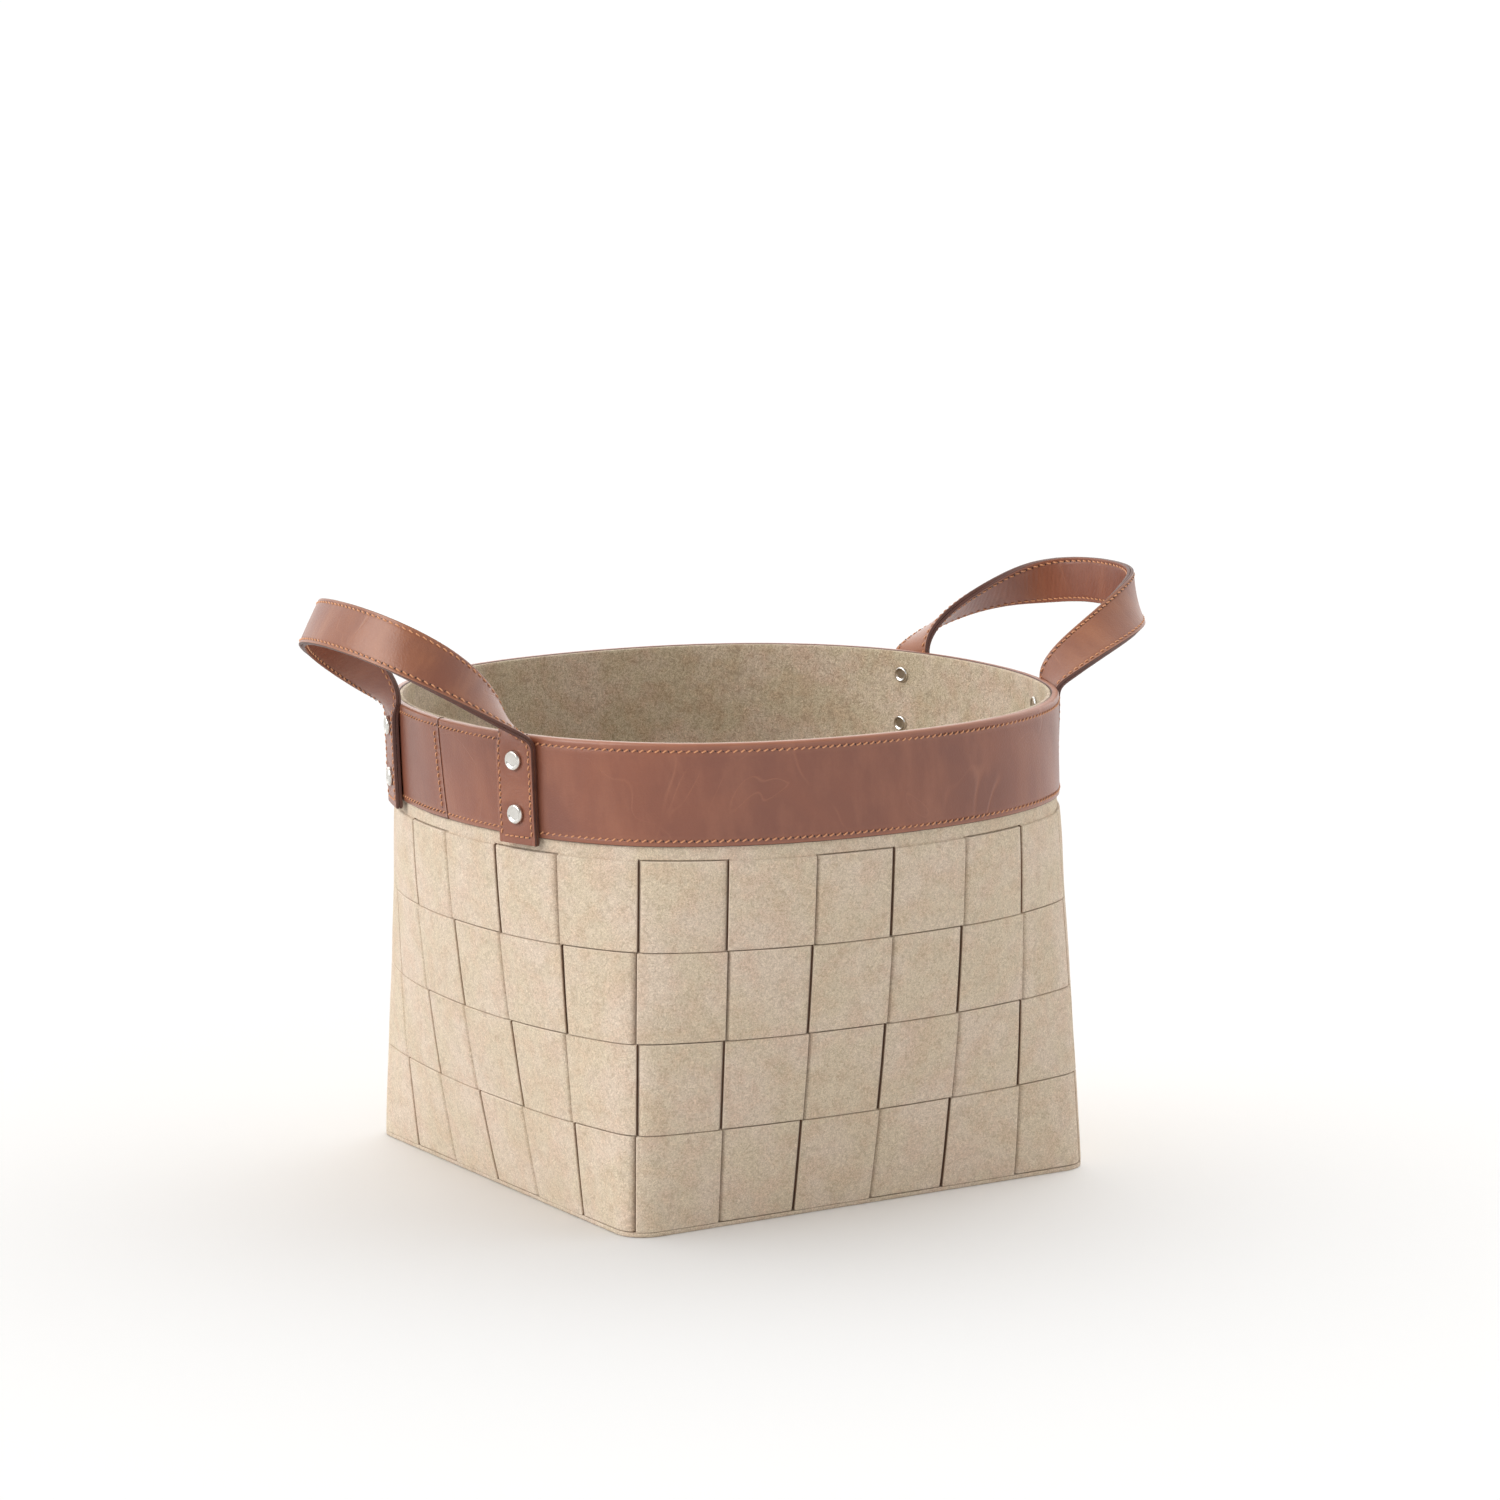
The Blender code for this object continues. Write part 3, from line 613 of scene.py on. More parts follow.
def weld_columns(rings, wear_and_painted_light, open_rows):
    """Joins the strips where the sheet isn't slit, and leaves out the faces that would lie between them."""
    columns, rows, around = rings.shape[:3]
    half = around // 2
    index = np.arange(columns * rows * around).reshape(columns, rows, around)
    solid = np.flatnonzero(~open_rows)
    for column in range(columns):
        following = (column + 1) % columns
        for here, there in ((half - 1, 0), (half, around - 1)):
            index[following, solid, there] = index[column, solid, here]
    faces = []
    for column in range(columns):
        grid = index[column]
        quads = np.stack((grid[:-1], np.roll(grid, -1, 1)[:-1], np.roll(grid, -1, 1)[1:], grid[1:]), -1)
        keep = np.ones(quads.shape[:2], bool)
        closed = ~open_rows[:-1] & ~open_rows[1:]
        keep[closed, half - 1] = False
        keep[closed, around - 1] = False
        faces.append(quads[keep])
        cap = end_faces(0, around)
        faces += [grid[0][cap[:, ::-1]], grid[-1][cap]]
    faces = np.concatenate(faces)
    used, compact = np.unique(faces, return_inverse=True)
    body = Body()
    points = rings.reshape(-1, 3)[used]
    points = felt_unevenness(points, 11)
    body.add(points, compact.reshape(faces.shape), wear_and_painted_light=wear_and_painted_light.reshape(-1)[used])
    return body.build("felt_shell", [WEAVE_FELT])


def felt_unevenness(points, seed, size=0.00012):
    """Felt is never quite flat: moves the points a little, outwards from the bin's axis."""
    outward = unit(points * (1, 1, 0))
    return points + outward * (waves(points, 0.045, seed) * size)[:, None]


def make_weft(row):
    """A level felt strip that closes on itself, woven through the slits of the shell."""
    bottom, top = row_span(row)
    bottom, top = bottom + STRIP_EDGE, top - STRIP_EDGE
    up = edged(10, 0.0)
    heights = bottom + up * (top - bottom)
    face, back = strip_section(up, FELT, EDGE_ROUND)
    across = edged(10, 0.0)[:-1]
    dive = WEFT_DIVE / COLUMN_WIDTH
    rings, wear_and_painted_light = [], []
    for column in range(COLUMNS):
        edge = np.minimum(across, 1 - across)
        if over(column, row):
            middle = np.full(len(across), -STRIP_OFFSET)
            lift = np.zeros((len(across), len(up)))
        else:
            middle = STRIP_OFFSET * (2 * smooth(edge / dive) - 1)
            lift = patch_lift(column, row, across[:, None], up[None, :])
        here = (column + across)[:, None]
        outside = wall_point(here, heights[None, :], middle[:, None] + lift + face)
        inside = wall_point(here, heights[None, :], middle[:, None] + back)
        rings.append(np.concatenate((outside, inside[:, ::-1]), 1))
        painted_lips_and_crevices = np.zeros((len(across), 2 * len(up)))
        # Painted shade where the weft dives under an upright strip.
        painted_lips_and_crevices -= (1 - smooth(edge / (0.45 * dive)))[:, None] * 1.2
        # Painted highlight along the raised weft's top and bottom edges.
        if not over(column, row):
            for k in (0, 1, len(up) - 2, len(up) - 1):
                painted_lips_and_crevices[(edge > 0.06), k] = 0.8
        wear_and_painted_light.append(painted_lips_and_crevices)
    rings = np.concatenate(rings)
    body = Body()
    faces = grid_faces(len(rings), rings.shape[1], True, True)
    body.add(felt_unevenness(rings.reshape(-1, 3), 11), faces, wear_and_painted_light=np.concatenate(wear_and_painted_light))
    return body.build(f"felt_weft_{row + 1}", [WEAVE_FELT])


def make_lining():
    """The plain felt sheet inside, which follows the wall and hides the back of the weave."""
    top = HEIGHT - LINING_EDGE_DEPTH
    steps = np.concatenate((np.linspace(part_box("lining_wall")[0].z, BAND_BOTTOM - 0.012, 40),
                            np.linspace(BAND_BOTTOM - 0.010, top - 0.0007, 22),
                            [top - 0.0003, top - 0.0001, top]))
    blend = smooth((steps - WEAVE_TOP) / (BAND_BOTTOM - WEAVE_TOP))
    outer = LINING_WOVEN + (LINING_TOP - LINING_WOVEN) * blend
    rounding = np.zeros(len(steps))
    rounding[-3:] = 0.00015, 0.0004, 0.0008
    columns = np.linspace(0, COLUMNS, COLUMNS * 14 + 1)[:-1]
    face = wall_point(columns[:, None], steps[None, :], outer[None, :] - rounding[None, :])
    inner = wall_point(columns[:, None], steps[None, :], outer[None, :] - FELT + rounding[None, :])
    depth = 0.5 * waves(inner, 0.11, 21) + 0.5 * waves(inner, 0.05, 22)
    _, outward, _ = wall_frame(columns[:, None], steps[None, :])
    fade = smooth((BAND_BOTTOM + 0.030 - steps) / 0.050)
    inner = inner - outward * (0.0005 * (1 + depth) * fade[None, :])[..., None]
    rings = np.concatenate((face, inner[:, ::-1]), 1)
    body = Body()
    body.add(rings, grid_faces(len(columns), rings.shape[1], True, True))
    return body.build("felt_lining", [LINING_FELT])


def make_plate(name, node, offset, rounding, material, sag=0.0):
    """A flat felt plate with the bin's rounded square outline and softly rounded edges."""
    bottom, top = (corner.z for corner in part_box(node))
    profile = []
    for turn in np.linspace(-90, 90, 7):
        level = (bottom + rounding) if turn < 0 else (top - rounding)
        turn = math.radians(turn)
        profile.append((level + rounding * math.sin(turn), rounding * (math.cos(turn) - 1)))
    columns = np.linspace(0, COLUMNS, COLUMNS * 12 + 1)[:-1]
    rings = []
    for shrink in (0.02, 0.2, 0.4, 0.6, 0.8, 0.93):
        rings.append(wall_point(columns, bottom, offset - rounding) * (shrink, shrink, 1))
    rings += [wall_point(columns, height, offset + inset) for height, inset in profile]
    for shrink in (0.93, 0.8, 0.6, 0.4, 0.2, 0.02):
        ring = wall_point(columns, top, offset - rounding) * (shrink, shrink, 1)
        ring[:, 2] += sag * (1 + waves(ring, 0.10, 31)) * smooth((1 - shrink) / 0.2)
        rings.append(ring)
    rings = np.array(rings)
    faces = grid_faces(len(rings), len(columns), False, True)
    body = Body()
    body.add(rings, capped(faces, len(rings), len(columns)))
    return body.build(name, [material])


# ---- leather pieces ----
def band_profile():
    """The band's section: (height, offset, wear and painted highlight, finish, lift along offset, lift along
    height, depth).
    """
    groove, depth, roll = 0.0009, 0.00022, 0.0017
    low, top = BAND_BOTTOM, HEIGHT
    points = [(low + 0.0001, BAND_OUTER - 0.0005, 0.0, 1, 1, 0, 1),
              (low + 0.0005, BAND_OUTER - 0.0001, 0.5, 0, 1, 0, 1)]
    for row in (BAND_BOTTOM_STITCH, BAND_TOP_STITCH):
        for place, sunk in ((-1, 0.0), (-0.5, 0.6), (0, 1.0), (0.5, 0.6), (1, 0.0)):
            points.append((row + groove * place, BAND_OUTER - depth * sunk, 0.15 - 0.15 * sunk, 0, 1, 0, 1))
        if row == BAND_BOTTOM_STITCH:
            heights = np.linspace(row + 0.003, BAND_TOP_STITCH - 0.003, 14)
            points += [(height, BAND_OUTER, 0.0, 0, 1, 0, 1) for height in heights]
    # The top roll and the fold over the top pale towards the crest: partly burnished leather, partly a
    # painted highlight where the rim catches the light.
    for angle in np.radians((0, 22, 45, 68, 90)):
        points.append((top - roll + roll * math.sin(angle), BAND_OUTER - roll + roll * math.cos(angle),
                       0.35 + 0.65 * math.sin(angle), 0, math.cos(angle), math.sin(angle), 1))
    inside = LINING_TOP + GAP / 2
    points += [(top, 0.0, 0.7, 0, 0, 1, 1), (top - 0.0001, inside + 0.0005, 0.5, 0, 0, 1, 1),
               (top - 0.0004, inside + 0.0001, 0.2, 1, 0, 1, 1), (top - 0.0008, inside, 0.0, 1, 0, 1, 1),
               (top - BAND_LEATHER, inside + 0.0001, 0.0, 1, 0, 1, 0),
               (top - BAND_LEATHER, 0.0, 0.0, 0, 0, 1, 0),
               (top - BAND_LEATHER, BAND_INNER, 0.0, 0, 1, 0, 0),
               (top - 0.01, BAND_INNER, 0.0, 0, 1, 0, 0), (low + 0.004, BAND_INNER, 0.0, 0, 1, 0, 0),
               (low, BAND_INNER + 0.0003, 0.0, 1, 1, 0, 0)]
    return np.array(points)


def lap_edge(height):
    """The column where the band's upper end is cut off: a seam that slants down to the right."""
    return LAP_COLUMN - LAP_SLANT * (height - (HEIGHT + BAND_BOTTOM) / 2)


def band_layers(steps):
    """Inner and outer offset of the leather, this many columns from the band's hidden first end."""
    lap = LAP_LENGTH / COLUMN_WIDTH
    climb = smooth((steps - COLUMNS) / (0.6 * lap) + 1)
    over_lap = smooth((steps - COLUMNS) / lap)
    under_lap = 1 - smooth((steps / lap - 0.88) / 0.2)
    seat = 1 - smooth(((steps - COLUMNS) / lap - 0.88) / 0.2)
    inner = BAND_INNER + climb * (BAND_LEATHER + 0.00005 - SKIVE * seat)
    outer = inner + BAND_LEATHER - SKIVE * (climb + under_lap) - LAP_THIN * over_lap
    return inner, outer


def make_band():
    """The leather band: one strip that starts under its own lap, goes round and ends in the slanted seam."""
    heights, offsets, wear_and_painted_light, finish, lift_out, lift_up, depth = band_profile().T
    lap = LAP_LENGTH / COLUMN_WIDTH
    steps = np.concatenate((np.linspace(0, lap, 16), np.linspace(lap, COLUMNS - lap, 420)[1:],
                            np.linspace(COLUMNS - lap, COLUMNS + lap, 32)[1:]))
    inner, outer = band_layers(steps)
    lift = (inner - BAND_INNER)[:, None] + depth * (outer - inner - BAND_LEATHER)[:, None]
    columns = (lap_edge(heights) - lap)[None, :] + steps[:, None]
    points = wall_point(columns, heights + lift * lift_up, offsets + lift * lift_out)
    _, outward, _ = wall_frame(columns, heights[None, :])
    uneven = 0.6 * waves(points, 0.060, 41) + 0.4 * waves(points, 0.023, 42)
    points = points + outward * (0.00018 * uneven * (depth * lift_out))[..., None]
    run = run_along(np.column_stack((heights, offsets)))
    places = grid_of(steps * COLUMN_WIDTH, run)
    finishes = np.tile(np.minimum(finish + np.roll(finish, -1), 1), len(steps) - 1)
    near_end = 0.6 * smooth((steps - COLUMNS - lap + 0.05) / 0.05)[:, None]
    turning = int(np.flatnonzero(depth == 0)[0]) - 1
    way_back = (run[-1] - run[turning + 1:])[::-1]
    last = zipped(run[:turning + 1] / run[turning], way_back / way_back[-1])
    first, last = last[:, ::-1], last + (len(steps) - 1) * len(heights)
    body = Body()
    body.add(points, grid_faces(len(steps), len(heights), False, True), finishes, places,
             np.maximum(wear_and_painted_light[None, :], near_end), np.concatenate((first, last)), 1)
    return body.build("leather_band", [BAND_SKIN, BURNISHED])


def zipped(outer, inner):
    """Triangles over one end of a thin section, between its outer line and the way back inside.

    Each line gives how far along itself, from 0 to 1, each of its points lies.
    """
    turning, last = len(outer) - 1, len(outer) + len(inner) - 1
    i, j, faces = 0, last, []
    while i < turning or j > turning + 1:
        if j == turning + 1 or (i < turning and outer[i] <= inner[last - j]):
            faces.append((i, i + 1, j))
            i += 1
        else:
            faces.append((i, j - 1, j))
            j -= 1
    return np.array(faces)


def strap_half(handle):
    """Middle line and width direction of a strap's first half, from its tab's foot to the top of its loop."""
    side = handle["side"]
    out = np.array((float(side), 0.0, 0.0))
    across = np.cross(UP, out)
    column, lift_off = tab_column(side), HEIGHT - STRAP_LIFT_OFF
    heights = np.linspace(BAND_BOTTOM - TAB_DROP, lift_off, 22)[:-1]
    centres = wall_point(column, np.maximum(heights, BAND_BOTTOM), TAB_OFFSET)
    centres[:, 2] = heights
    _, _, along = wall_frame(column, lift_off)
    root = wall_point(column, lift_off, TAB_OFFSET)
    top = out * (RIM_RADIUS + handle["reach"]) + UP * (HEIGHT + handle["rise"])
    pulls = (root, root + UP * handle["root_pull"], top + across * handle["top_pull"], top)
    lean = handle["top_lean"]
    facings = (along, np.column_stack((out, across, UP)) @ np.array(handle["mid_width"]),
               out * math.sin(lean) - UP * math.cos(lean))
    step = np.linspace(0, 1, 221)[:, None]
    rest = 1 - step
    loop = (rest ** 3 * pulls[0] + 3 * rest ** 2 * step * pulls[1] + 3 * rest * step ** 2 * pulls[2]
            + step ** 3 * pulls[3])
    tangent = unit(rest ** 2 * (pulls[1] - pulls[0]) + 2 * rest * step * (pulls[2] - pulls[1])
                   + step ** 2 * (pulls[3] - pulls[2]))
    turn = step ** handle["turn_power"]
    width = (1 - turn) ** 2 * facings[0] + 2 * turn * (1 - turn) * facings[1] + turn ** 2 * facings[2]
    width = unit(width - tangent * (tangent * width).sum(1, keepdims=True))
    return np.concatenate((centres, loop)), np.concatenate((np.repeat(along[None], len(centres), 0), width))


def tab_column(side):
    """The column at the middle of the tab on the strap's first half; the second half mirrors it in Y."""
    middle = 3 * COLUMNS_PER_SIDE + COLUMNS_PER_SIDE / 2 if side < 0 else COLUMNS_PER_SIDE * 1.5
    return middle + TAB_COLUMN


def eased(values, run):
    """Reads values at equal steps along a strap, and softens them over a short length."""
    step, reach = 0.0005, 12
    even = np.linspace(0, run[-1], int(run[-1] / step))
    level = np.stack([np.interp(even, run, values[:, k]) for k in range(3)], -1)
    level = np.pad(level, ((reach, reach), (0, 0)), "reflect", reflect_type="odd")
    shares = np.exp(-0.5 * (np.arange(-reach, reach + 1) * step / ROUND_OVER) ** 2)
    return np.stack([np.convolve(level[:, k], shares / shares.sum(), "valid") for k in range(3)], -1)


class Strap:
    """A handle's doubled strap as a surface, by distance along it, distance across it and depth."""

    def __init__(self, handle):
        half, widths = strap_half(handle)
        centres = np.concatenate((half, half[-2::-1] * MIRROR_Y))
        run = run_along(centres)
        self.centres = eased(centres, run)
        self.tangents = unit(np.gradient(self.centres, axis=0))
        widths = eased(np.concatenate((widths, widths[-2::-1] * MIRROR_Y)), run)
        self.widths = unit(widths - self.tangents * (self.tangents * widths).sum(1, keepdims=True))
        self.normals = unit(np.cross(self.widths, self.tangents))
        self.along = run_along(self.centres)
        self.length = self.along[-1]

    def read(self, values, along):
        return np.stack([np.interp(along, self.along, values[:, k]) for k in range(3)], -1)

    def frame(self, along):
        return [self.read(values, along) for values in (self.widths, self.tangents, self.normals)]

    def at(self, along, across, depth):
        width, _, normal = self.frame(along)
        return self.read(self.centres, along) + width * across[..., None] + normal * depth[..., None]

    def tab_distance(self, along):
        """Distance along the strap from the nearer tab's foot."""
        return np.minimum(along, self.length - along)


def strap_relief(strap, along, across, layer):
    """How far a layer's outer face rises or sinks: stitching, dents round the rivets, and wrinkles."""
    half = STRAP_WIDTH / 2
    inset = np.abs(across) - (half - STITCH_INSET)
    relief = -0.00022 * np.exp(-(inset / 0.0007) ** 2) + 0.00018 * (1 - (across / half) ** 2)
    from_foot = strap.tab_distance(along)
    loop = smooth((from_foot - STRAP_LOOP_START) / 0.03)
    place = np.stack((along, across * 0.35, np.zeros_like(along)), -1)
    if layer == "face":
        bend = waves(place, 0.016, 51)
        ribs = np.sin(2 * math.pi * (along + 0.30 * across + 0.0007 * bend) / RIB_PITCH)
        strength = 0.00016 * (0.75 + 0.25 * waves(place, 0.007, 52))
        relief += loop * strength * ribs * smooth(1.1 - np.abs(across) / half)
        for depth in RIVET_DEPTHS.values():
            away = np.hypot(from_foot - (HEIGHT - depth - BAND_BOTTOM + TAB_DROP), across)
            relief -= 0.00050 * np.exp(-(np.maximum(away - 0.0042, 0.0) / 0.0026) ** 2)
            relief += 0.00022 * np.exp(-((away - 0.0100) / 0.0026) ** 2)
        relief -= 0.00022 * np.exp(-((from_foot - FOOT_STITCH) / 0.0007) ** 2)
    relief += 0.00010 * waves(place, 0.030, 53)
    return relief


def make_strap_layer(name, strap, layer):
    """One leather layer of a handle, whole from its front tab through the loop to its rear tab."""
    half, edge = STRAP_WIDTH / 2, 0.00045
    sign = 1 if layer == "face" else -1
    rounded = np.radians((0, 30, 60, 90))
    row = half - STITCH_INSET
    groove = np.array((-0.0007, 0.0, 0.0007))
    flat = np.sort(np.concatenate((np.linspace(-half + edge + 0.0006, half - edge - 0.0006, 25),
                                   groove - row, groove + row)))
    left = -half + edge * (1 - np.cos(rounded))
    across = np.concatenate((left, flat, -left[::-1]))
    outer = np.full(len(across), STRAP / 2)
    outer[:4] -= edge * (1 - np.sin(rounded))
    outer[-4:] = outer[:4][::-1]
    inner_across = np.concatenate((np.linspace(half, half - 0.001, 3),
                                   np.linspace(half - 0.004, 0.004 - half, 6),
                                   np.linspace(0.001 - half, -half, 3)))
    stations = int(strap.length / LAYER_STEPS[layer])
    along = np.linspace(0, strap.length, stations)
    cut = 0.0004 * np.exp(-strap.tab_distance(along) / 0.0003)
    grid_along, grid_across = np.meshgrid(along, across, indexing="ij")
    relief = strap_relief(strap, grid_along, grid_across, layer)
    relief *= smooth((half + 0.0002 - np.abs(grid_across)) / 0.0012)
    face = strap.at(grid_along, grid_across, sign * (outer[None, :] + relief - cut[:, None]))
    back_along, back_across = np.meshgrid(along, inner_across, indexing="ij")
    back = strap.at(back_along, back_across, np.full(back_along.shape, sign * GAP / 2))
    rings = np.concatenate((face, back), 1)
    all_across = np.concatenate((across, inner_across))
    around = len(all_across)
    at_edge = (np.abs(all_across) > half - 0.0003).astype(int)
    finish = np.tile(np.minimum(at_edge * np.roll(at_edge, -1), 1), stations - 1)
    places = grid_of(along, all_across)
    # Painted sheen along the strap's rounded edges, carried in the per-point values.
    shine = 0.55 * np.exp(-((half - np.abs(all_across)) / 0.0007) ** 2)[None, :] * np.ones((stations, 1))
    triangles = zipped(np.linspace(0, 1, len(across)), np.linspace(0, 1, len(inner_across)))
    body = Body()
    body.add(rings, grid_faces(stations, around, False, True), finish, places, shine,
             np.concatenate((triangles[:, ::-1], triangles + (stations - 1) * around)), 1)
    # The face layer takes the darker, partly shaded copy and the back layer the lighter, partly lit copy.
    skin = STRAP_CREASED_SHADED if layer == "face" else STRAP_SKIN_LIT
    return body.build(f"{name}_strap_{layer}", [skin, BURNISHED])


# ---- stitching ----
def add_stitches(body, middles, along, across, outward, lean, reach=0.00150):
    """Slanted stitches that arch out of one needle hole and into the next, with a dark lens of painted shade
    at each hole between them.
    """
    turns = np.arange(6) * math.pi / 3
    steps = np.linspace(-1, 1, 7)
    quads = capped(grid_faces(len(steps), 6, False, True), len(steps), 6)
    around = np.arange(6)
    following = (around + 1) % 6
    hole_faces = np.concatenate((np.stack((around, following, np.full(6, 6)), -1),
                                 np.stack((following, around, np.full(6, 7)), -1)))
    rng = np.random.default_rng(len(middles))
    for k, (middle, forward, side, out) in enumerate(zip(middles, along, across, outward)):
        tilt = lean + rng.uniform(-0.07, 0.07)
        line = forward * math.cos(tilt) + side * math.sin(tilt)
        level = np.cross(out, line)
        rise = 0.00034 * rng.uniform(0.8, 1.15) * (1 - steps ** 2) - 0.00042 * steps ** 6
        centres = middle + line * (steps * reach)[:, None] + out * rise[:, None]
        radius = THREAD_RADIUS * (1 - 0.30 * steps ** 4)
        ring = (level[None, :] * np.cos(turns)[:, None] + out[None, :] * np.sin(turns)[:, None] * 0.85)
        points = centres[:, None] + ring[None] * radius[:, None, None]
        body.add(points, quads, 0, grid_of(k * STITCH_PITCH + steps * reach, turns * THREAD_RADIUS))
        # A flat dark lens at the needle hole: painted shade for the hollow of the hole.
        hole = middle + forward * (STITCH_PITCH / 2)
        rim = (forward[None, :] * np.cos(turns)[:, None] * 0.00042
               + side[None, :] * np.sin(turns)[:, None] * 0.00062)
        lens = np.concatenate((hole + rim, (hole + out * 0.00007, hole - out * 0.0004)))
        body.add(lens, np.zeros((0, 4), int), 1, None, 0.0, hole_faces, 1)


def make_band_threads():
    """The two stitched rows round the band and the row that closes its lap."""
    body = Body()
    lap = LAP_LENGTH / COLUMN_WIDTH
    groove = 0.00016
    for height in (BAND_BOTTOM_STITCH, BAND_TOP_STITCH):
        count = int(round(COLUMNS * COLUMN_WIDTH / STITCH_PITCH))
        steps = lap + 0.03 + (np.arange(count) + 0.2) / count * (COLUMNS - 0.06)
        columns = lap_edge(height) - lap + steps
        _, outer = band_layers(steps)
        middle, outward, along = wall_frame(columns, height)
        add_stitches(body, middle + outward * (outer - groove)[:, None], along,
                     np.broadcast_to(UP, along.shape), outward, math.radians(32))
    heights = np.linspace(HEIGHT - 0.0085, BAND_BOTTOM + 0.0075, 11)
    columns = lap_edge(heights) - 0.115
    _, outer = band_layers(np.full(len(heights), COLUMNS + lap - 0.115))
    middle, outward, _ = wall_frame(columns, heights)
    middle = middle + outward * (outer + 0.00002)[:, None]
    down = unit(np.gradient(middle, axis=0))
    add_stitches(body, middle, down, np.cross(outward, down), outward, math.radians(-20))
    return body.build("band_stitching", [THREAD, NEEDLE_HOLE_SHADE])


def make_strap_threads(name, strap):
    """Stitched rows along both edges of a strap, on both faces, and across the feet of its tabs."""
    body = Body()
    row = STRAP_WIDTH / 2 - STITCH_INSET
    count = int(round((strap.length - 2 * FOOT_STITCH) / STITCH_PITCH))
    along = FOOT_STITCH + (np.arange(count) + 0.5) / count * (strap.length - 2 * FOOT_STITCH)
    for sign, layer in ((1, "face"), (-1, "back")):
        keep = along if layer == "face" else along[strap.tab_distance(along) > HEIGHT - BAND_BOTTOM]
        width, tangent, normal = strap.frame(keep)
        for place in (-row, row):
            across = np.full(len(keep), place)
            depth = sign * (STRAP / 2 + strap_relief(strap, keep, across, layer) + 0.00006)
            add_stitches(body, strap.at(keep, across, depth), tangent, width, normal * sign,
                         math.radians(14) * sign)
    across = np.linspace(-row, row, 7)[1:-1]
    for foot in (FOOT_STITCH, strap.length - FOOT_STITCH):
        here = np.full(len(across), foot)
        width, tangent, normal = strap.frame(here)
        depth = STRAP / 2 + strap_relief(strap, here, across, "face") + 0.00006
        add_stitches(body, strap.at(here, across, depth), width, tangent, normal, math.radians(10), 0.00135)
    return body.build(f"{name}_strap_stitching", [THREAD, NEEDLE_HOLE_SHADE])


# ---- rivets ----
def turned(name, profile, origin, direction):
    """A smooth turned piece: its (radius, distance along the direction) outline spun round an axis."""
    turns = np.arange(RIVET_SEGMENTS) / RIVET_SEGMENTS * 2 * math.pi
    direction = unit(direction)
    side = unit(np.cross(direction, UP))
    up = np.cross(side, direction)
    ring = side[None, :] * np.cos(turns)[:, None] + up[None, :] * np.sin(turns)[:, None]
    points = np.array([origin + direction * reach + ring * radius for radius, reach in profile])
    quads = capped(grid_faces(len(profile), RIVET_SEGMENTS, False, True), len(profile), RIVET_SEGMENTS)
    body = Body()
    body.add(points, quads, 0, grid_of(np.array(profile)[:, 0], turns * RIVET_CAP["radius"]))
    return body.build(name, [NICKEL], 60)


def dome(radius, height, seat):
    """A pressed cap's outline: a hollow foot, a domed ring and a shallow dish in the middle."""
    profile = [(0.00004, seat - 0.0003), (radius * 0.6, seat - 0.0003), (radius - 0.0005, seat - 0.0002),
               (radius - 0.00012, seat + 0.00002), (radius, seat + 0.0003)]
    for share, rise in ((0.985, 0.50), (0.95, 0.76), (0.90, 0.92), (0.84, 1.0), (0.77, 1.0),
                        (0.70, 0.92), (0.63, 0.80), (0.54, 0.72), (0.38, 0.70), (0.18, 0.70)):
        profile.append((radius * share, seat + height * rise))
    return profile + [(0.00004, seat + height * 0.70)]


def make_rivets(name, handle):
    """A domed cap outside and a smaller one inside for each of the handle's four rivets."""
    pieces = []
    for place in ("front", "rear"):
        mirror = MIRROR_Y if (place == "front") == (handle["side"] > 0) else np.ones(3)
        for level, depth in RIVET_DEPTHS.items():
            middle, outward, _ = wall_frame(tab_column(handle["side"]), HEIGHT - depth)
            node = f"{name}_{place}_{level}_rivet"
            cap = dome(RIVET_CAP["radius"], RIVET_CAP["height"], TAB_OFFSET + STRAP / 2 - 0.0001)
            back = dome(INNER_CAP["radius"], INNER_CAP["height"], FELT - LINING_TOP + 0.00012)
            middle, outward = middle * mirror, outward * mirror
            pieces.append((turned(f"{node}_cap", cap, middle, outward), node))
            pieces.append((turned(f"{node}_inner_cap", back, middle, -outward), f"{node}_back"))
    return pieces


# ---- the whole bin ----
def build_fabric():
    """Every felt and leather piece that stays on the bin."""
    shell = make_shell()
    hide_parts("outer_shell")
    wefts = [make_weft(row) for row in range(ROWS)]
    for row, weft in enumerate(wefts):
        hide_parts(f"weft_strip_{row + 1}")
    lining = make_lining()
    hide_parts("lining_wall")
    plates = []
    for name, node, offset, rounding, sag, skin in (
            ("base_felt", "base_panel", STRIP_OFFSET + FELT / 2, 0.0003, 0.0, WEAVE_FELT),
            ("floor_felt", "base_lining", LINING_WOVEN - FELT - GAP, 0.0007, 0.0003, LINING_FELT)):
        plate = make_plate(name, node, offset, rounding, skin, sag)
        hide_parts(node)
        plates.append(plate)
    band = make_band()
    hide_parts("rim_band")
    threads = make_band_threads()
    slots = [(shell, "felt_weave"), (lining, "felt_lining"), (band, "band_leather"), (threads, "thread"),
             (plates[0], "felt_weave"), (plates[1], "felt_lining")]
    for piece, slot in slots + [(weft, "felt_weave") for weft in wefts]:
        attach(piece, "bin")


def build_handle(name, handle):
    strap = Strap(handle)
    loop = f"{name}_handle"
    for layer in ("face", "back"):
        piece = make_strap_layer(name, strap, layer)
        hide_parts(*(f"{loop}_{layer}_{part}" for part in ("front_tab", "rear_tab", "arch")))
        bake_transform(piece)
    threads = make_strap_threads(name, strap)
    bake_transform(threads)
    for cap, node in make_rivets(name, handle):
        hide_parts(node)
        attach(cap, "bin")


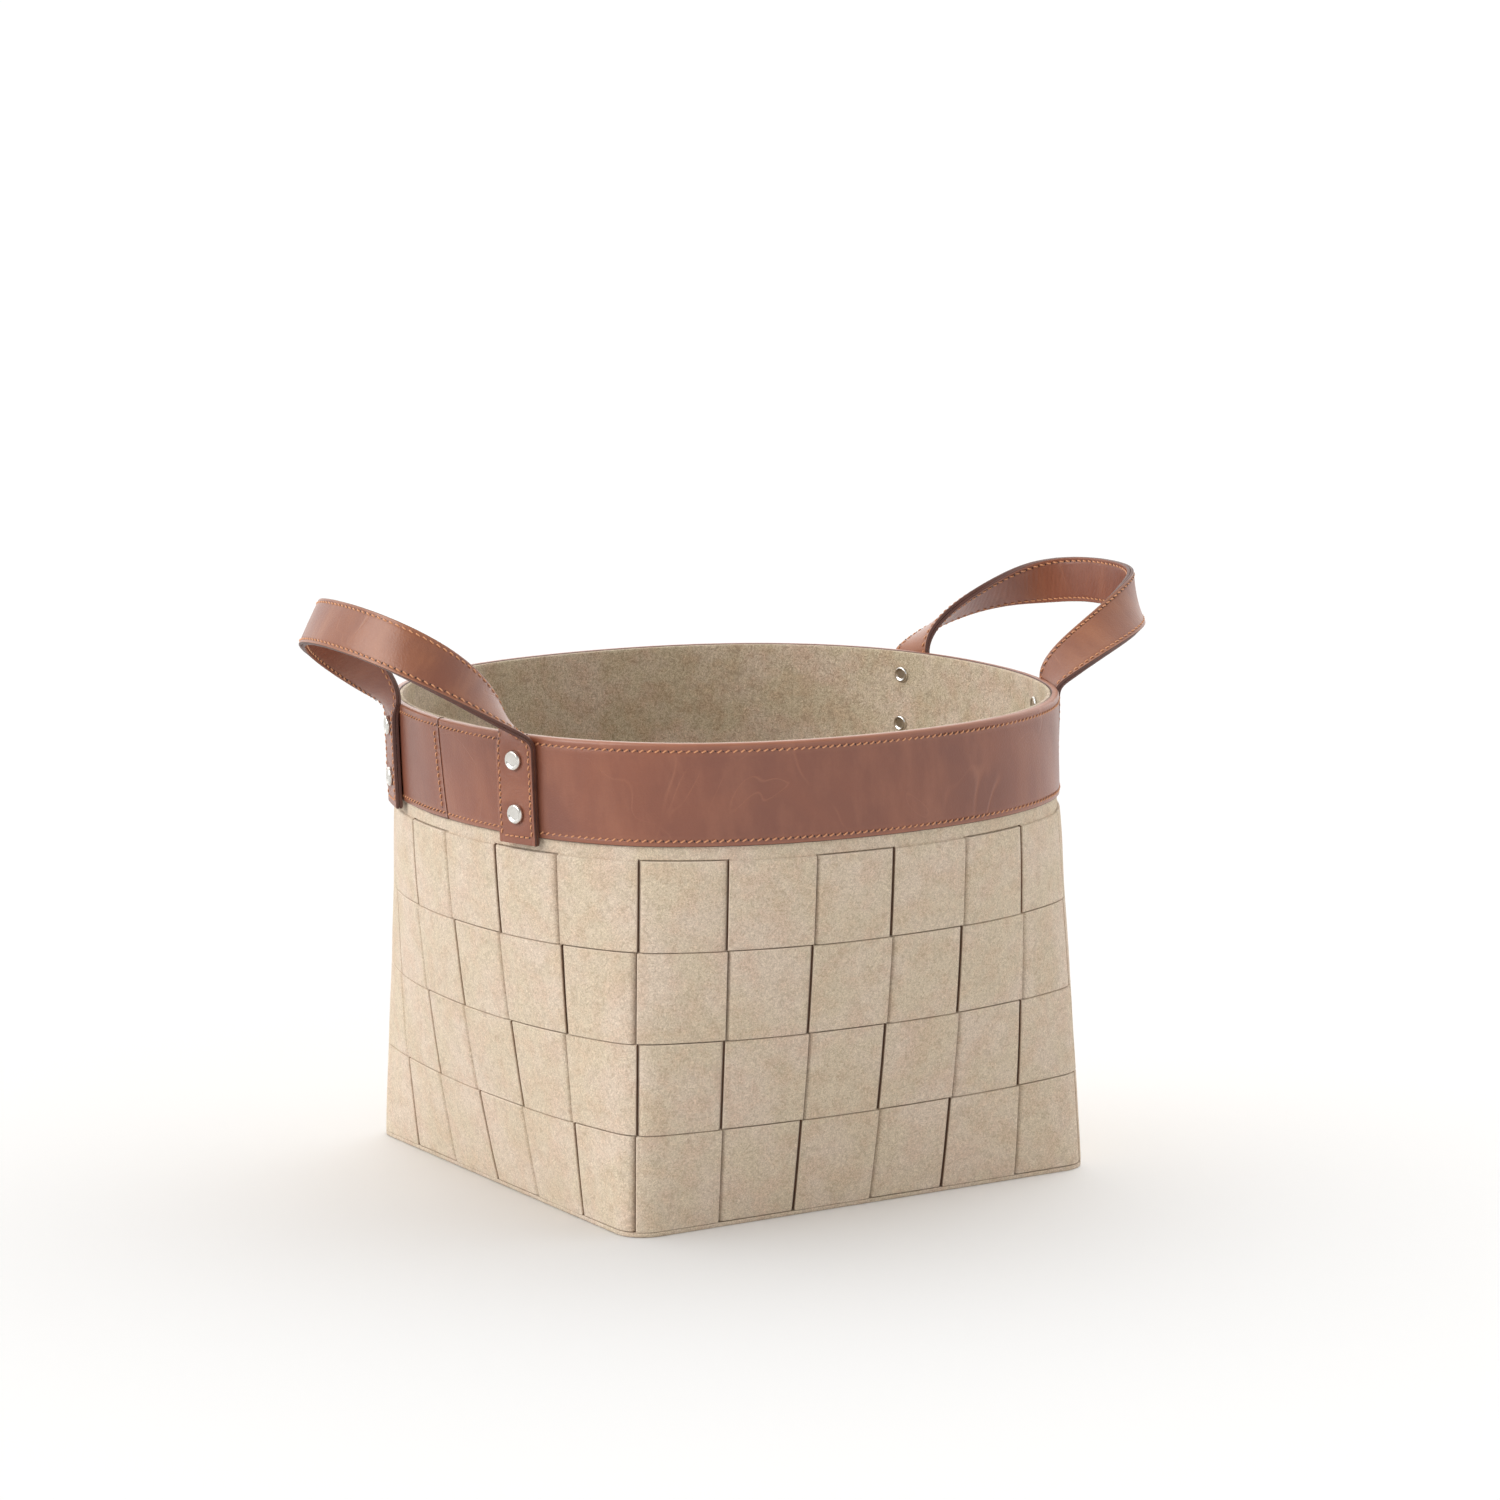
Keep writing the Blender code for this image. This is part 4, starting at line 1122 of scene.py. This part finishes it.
# ---- the studio ----
def make_floor():
    n = Nodes("studio_floor")
    n.set(Base_Color=colour(*[FLOOR_WHITE] * 3), Roughness=1.0, Specular_IOR_Level=0.0)
    turns = np.arange(FLOOR_SEGMENTS) / FLOOR_SEGMENTS * 2 * math.pi
    rings = np.array([[(radius * math.cos(turn), radius * math.sin(turn), FLOOR_LEVEL) for turn in turns]
                      for radius in FLOOR_RINGS])
    quads = grid_faces(len(rings), len(turns), False, True)
    faces = np.concatenate((quads[:, ::-1], end_faces(0, len(turns))))
    mesh = bpy.data.meshes.new("studio_floor")
    mesh.from_pydata(rings.reshape(-1, 3).tolist(), [], faces.tolist())
    mesh.materials.append(n.material)
    floor = bpy.data.objects.new("studio_floor", mesh)
    bpy.context.scene.collection.objects.link(floor)
    return floor


def make_world():
    """White for the camera; for everything else a dim sky with a few broad brighter parts."""
    n = Nodes("studio", "worlds")
    n.tree.nodes.clear()
    place = n.add("ShaderNodeTexCoord").outputs["Generated"]
    strength = SKY_DIM
    for direction, gain, tightness in SKY_PARTS:
        facing = n.add("ShaderNodeVectorMath", {"operation": "DOT_PRODUCT"})
        n.feed(facing.inputs[0], place)
        n.feed(facing.inputs[1], Vector(direction).normalized())
        lobe = n.math("POWER", n.math("MAXIMUM", facing.outputs["Value"], 0.0), tightness)
        strength = n.math("ADD", n.math("MULTIPLY", lobe, gain), strength)
    cast = n.add("ShaderNodeBackground", Color=colour(*SKY_COLOUR), Strength=strength)
    seen = n.add("ShaderNodeBackground", Color=colour(1.0, 1.0, 1.0))
    chosen = n.add("ShaderNodeMixShader", Fac=n.add("ShaderNodeLightPath").outputs["Is Camera Ray"])
    n.feed(chosen.inputs[1], cast.outputs["Background"])
    n.feed(chosen.inputs[2], seen.outputs["Background"])
    n.add("ShaderNodeOutputWorld", Surface=chosen.outputs["Shader"])
    bpy.context.scene.world = n.material


def add_key_light(floor):
    """A soft sun from the left, which leaves the floor out."""
    lamp = bpy.data.lights.new("key", "SUN")
    lamp.energy, lamp.angle = KEY_LIGHT["strength"], KEY_LIGHT["spread"]
    key = bpy.data.objects.new("key", lamp)
    key.rotation_euler = Vector(KEY_LIGHT["direction"]).normalized().to_track_quat("Z", "Y").to_euler()
    bpy.context.scene.collection.objects.link(key)
    unlit = bpy.data.collections.new("key_leaves_out")
    unlit.objects.link(floor)
    key.light_linking.receiver_collection = unlit
    unlit.collection_objects[0].light_linking.link_state = "EXCLUDE"


def add_camera():
    level = math.cos(CAMERA["elevation"])
    heading = Vector((math.sin(CAMERA["azimuth"]) * level, -math.cos(CAMERA["azimuth"]) * level,
                      math.sin(CAMERA["elevation"])))
    data = bpy.data.cameras.new("camera")
    data.lens, data.sensor_width = CAMERA["lens"], 36.0
    data.shift_x, data.shift_y = CAMERA["shift"]
    data.clip_end = 200.0
    camera = bpy.data.objects.new("camera", data)
    turn = heading.to_track_quat("Z", "Y").to_matrix() @ Matrix.Rotation(CAMERA["roll"], 3, "Z")
    place = Vector((0, 0, HEIGHT)) + heading * CAMERA["distance"]
    camera.matrix_world = Matrix.Translation(place) @ turn.to_4x4()
    bpy.context.scene.collection.objects.link(camera)
    bpy.context.scene.camera = camera


def build_studio():
    bpy.context.scene.view_settings.view_transform = "Standard"
    floor = make_floor()
    make_world()
    add_key_light(floor)
    add_camera()


build_fabric()
for handle_name, handle_sizes in HANDLES.items():
    build_handle(handle_name, handle_sizes)
for material_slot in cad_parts["base_board"].material_slots:
    material_slot.material = BOARD
build_studio()
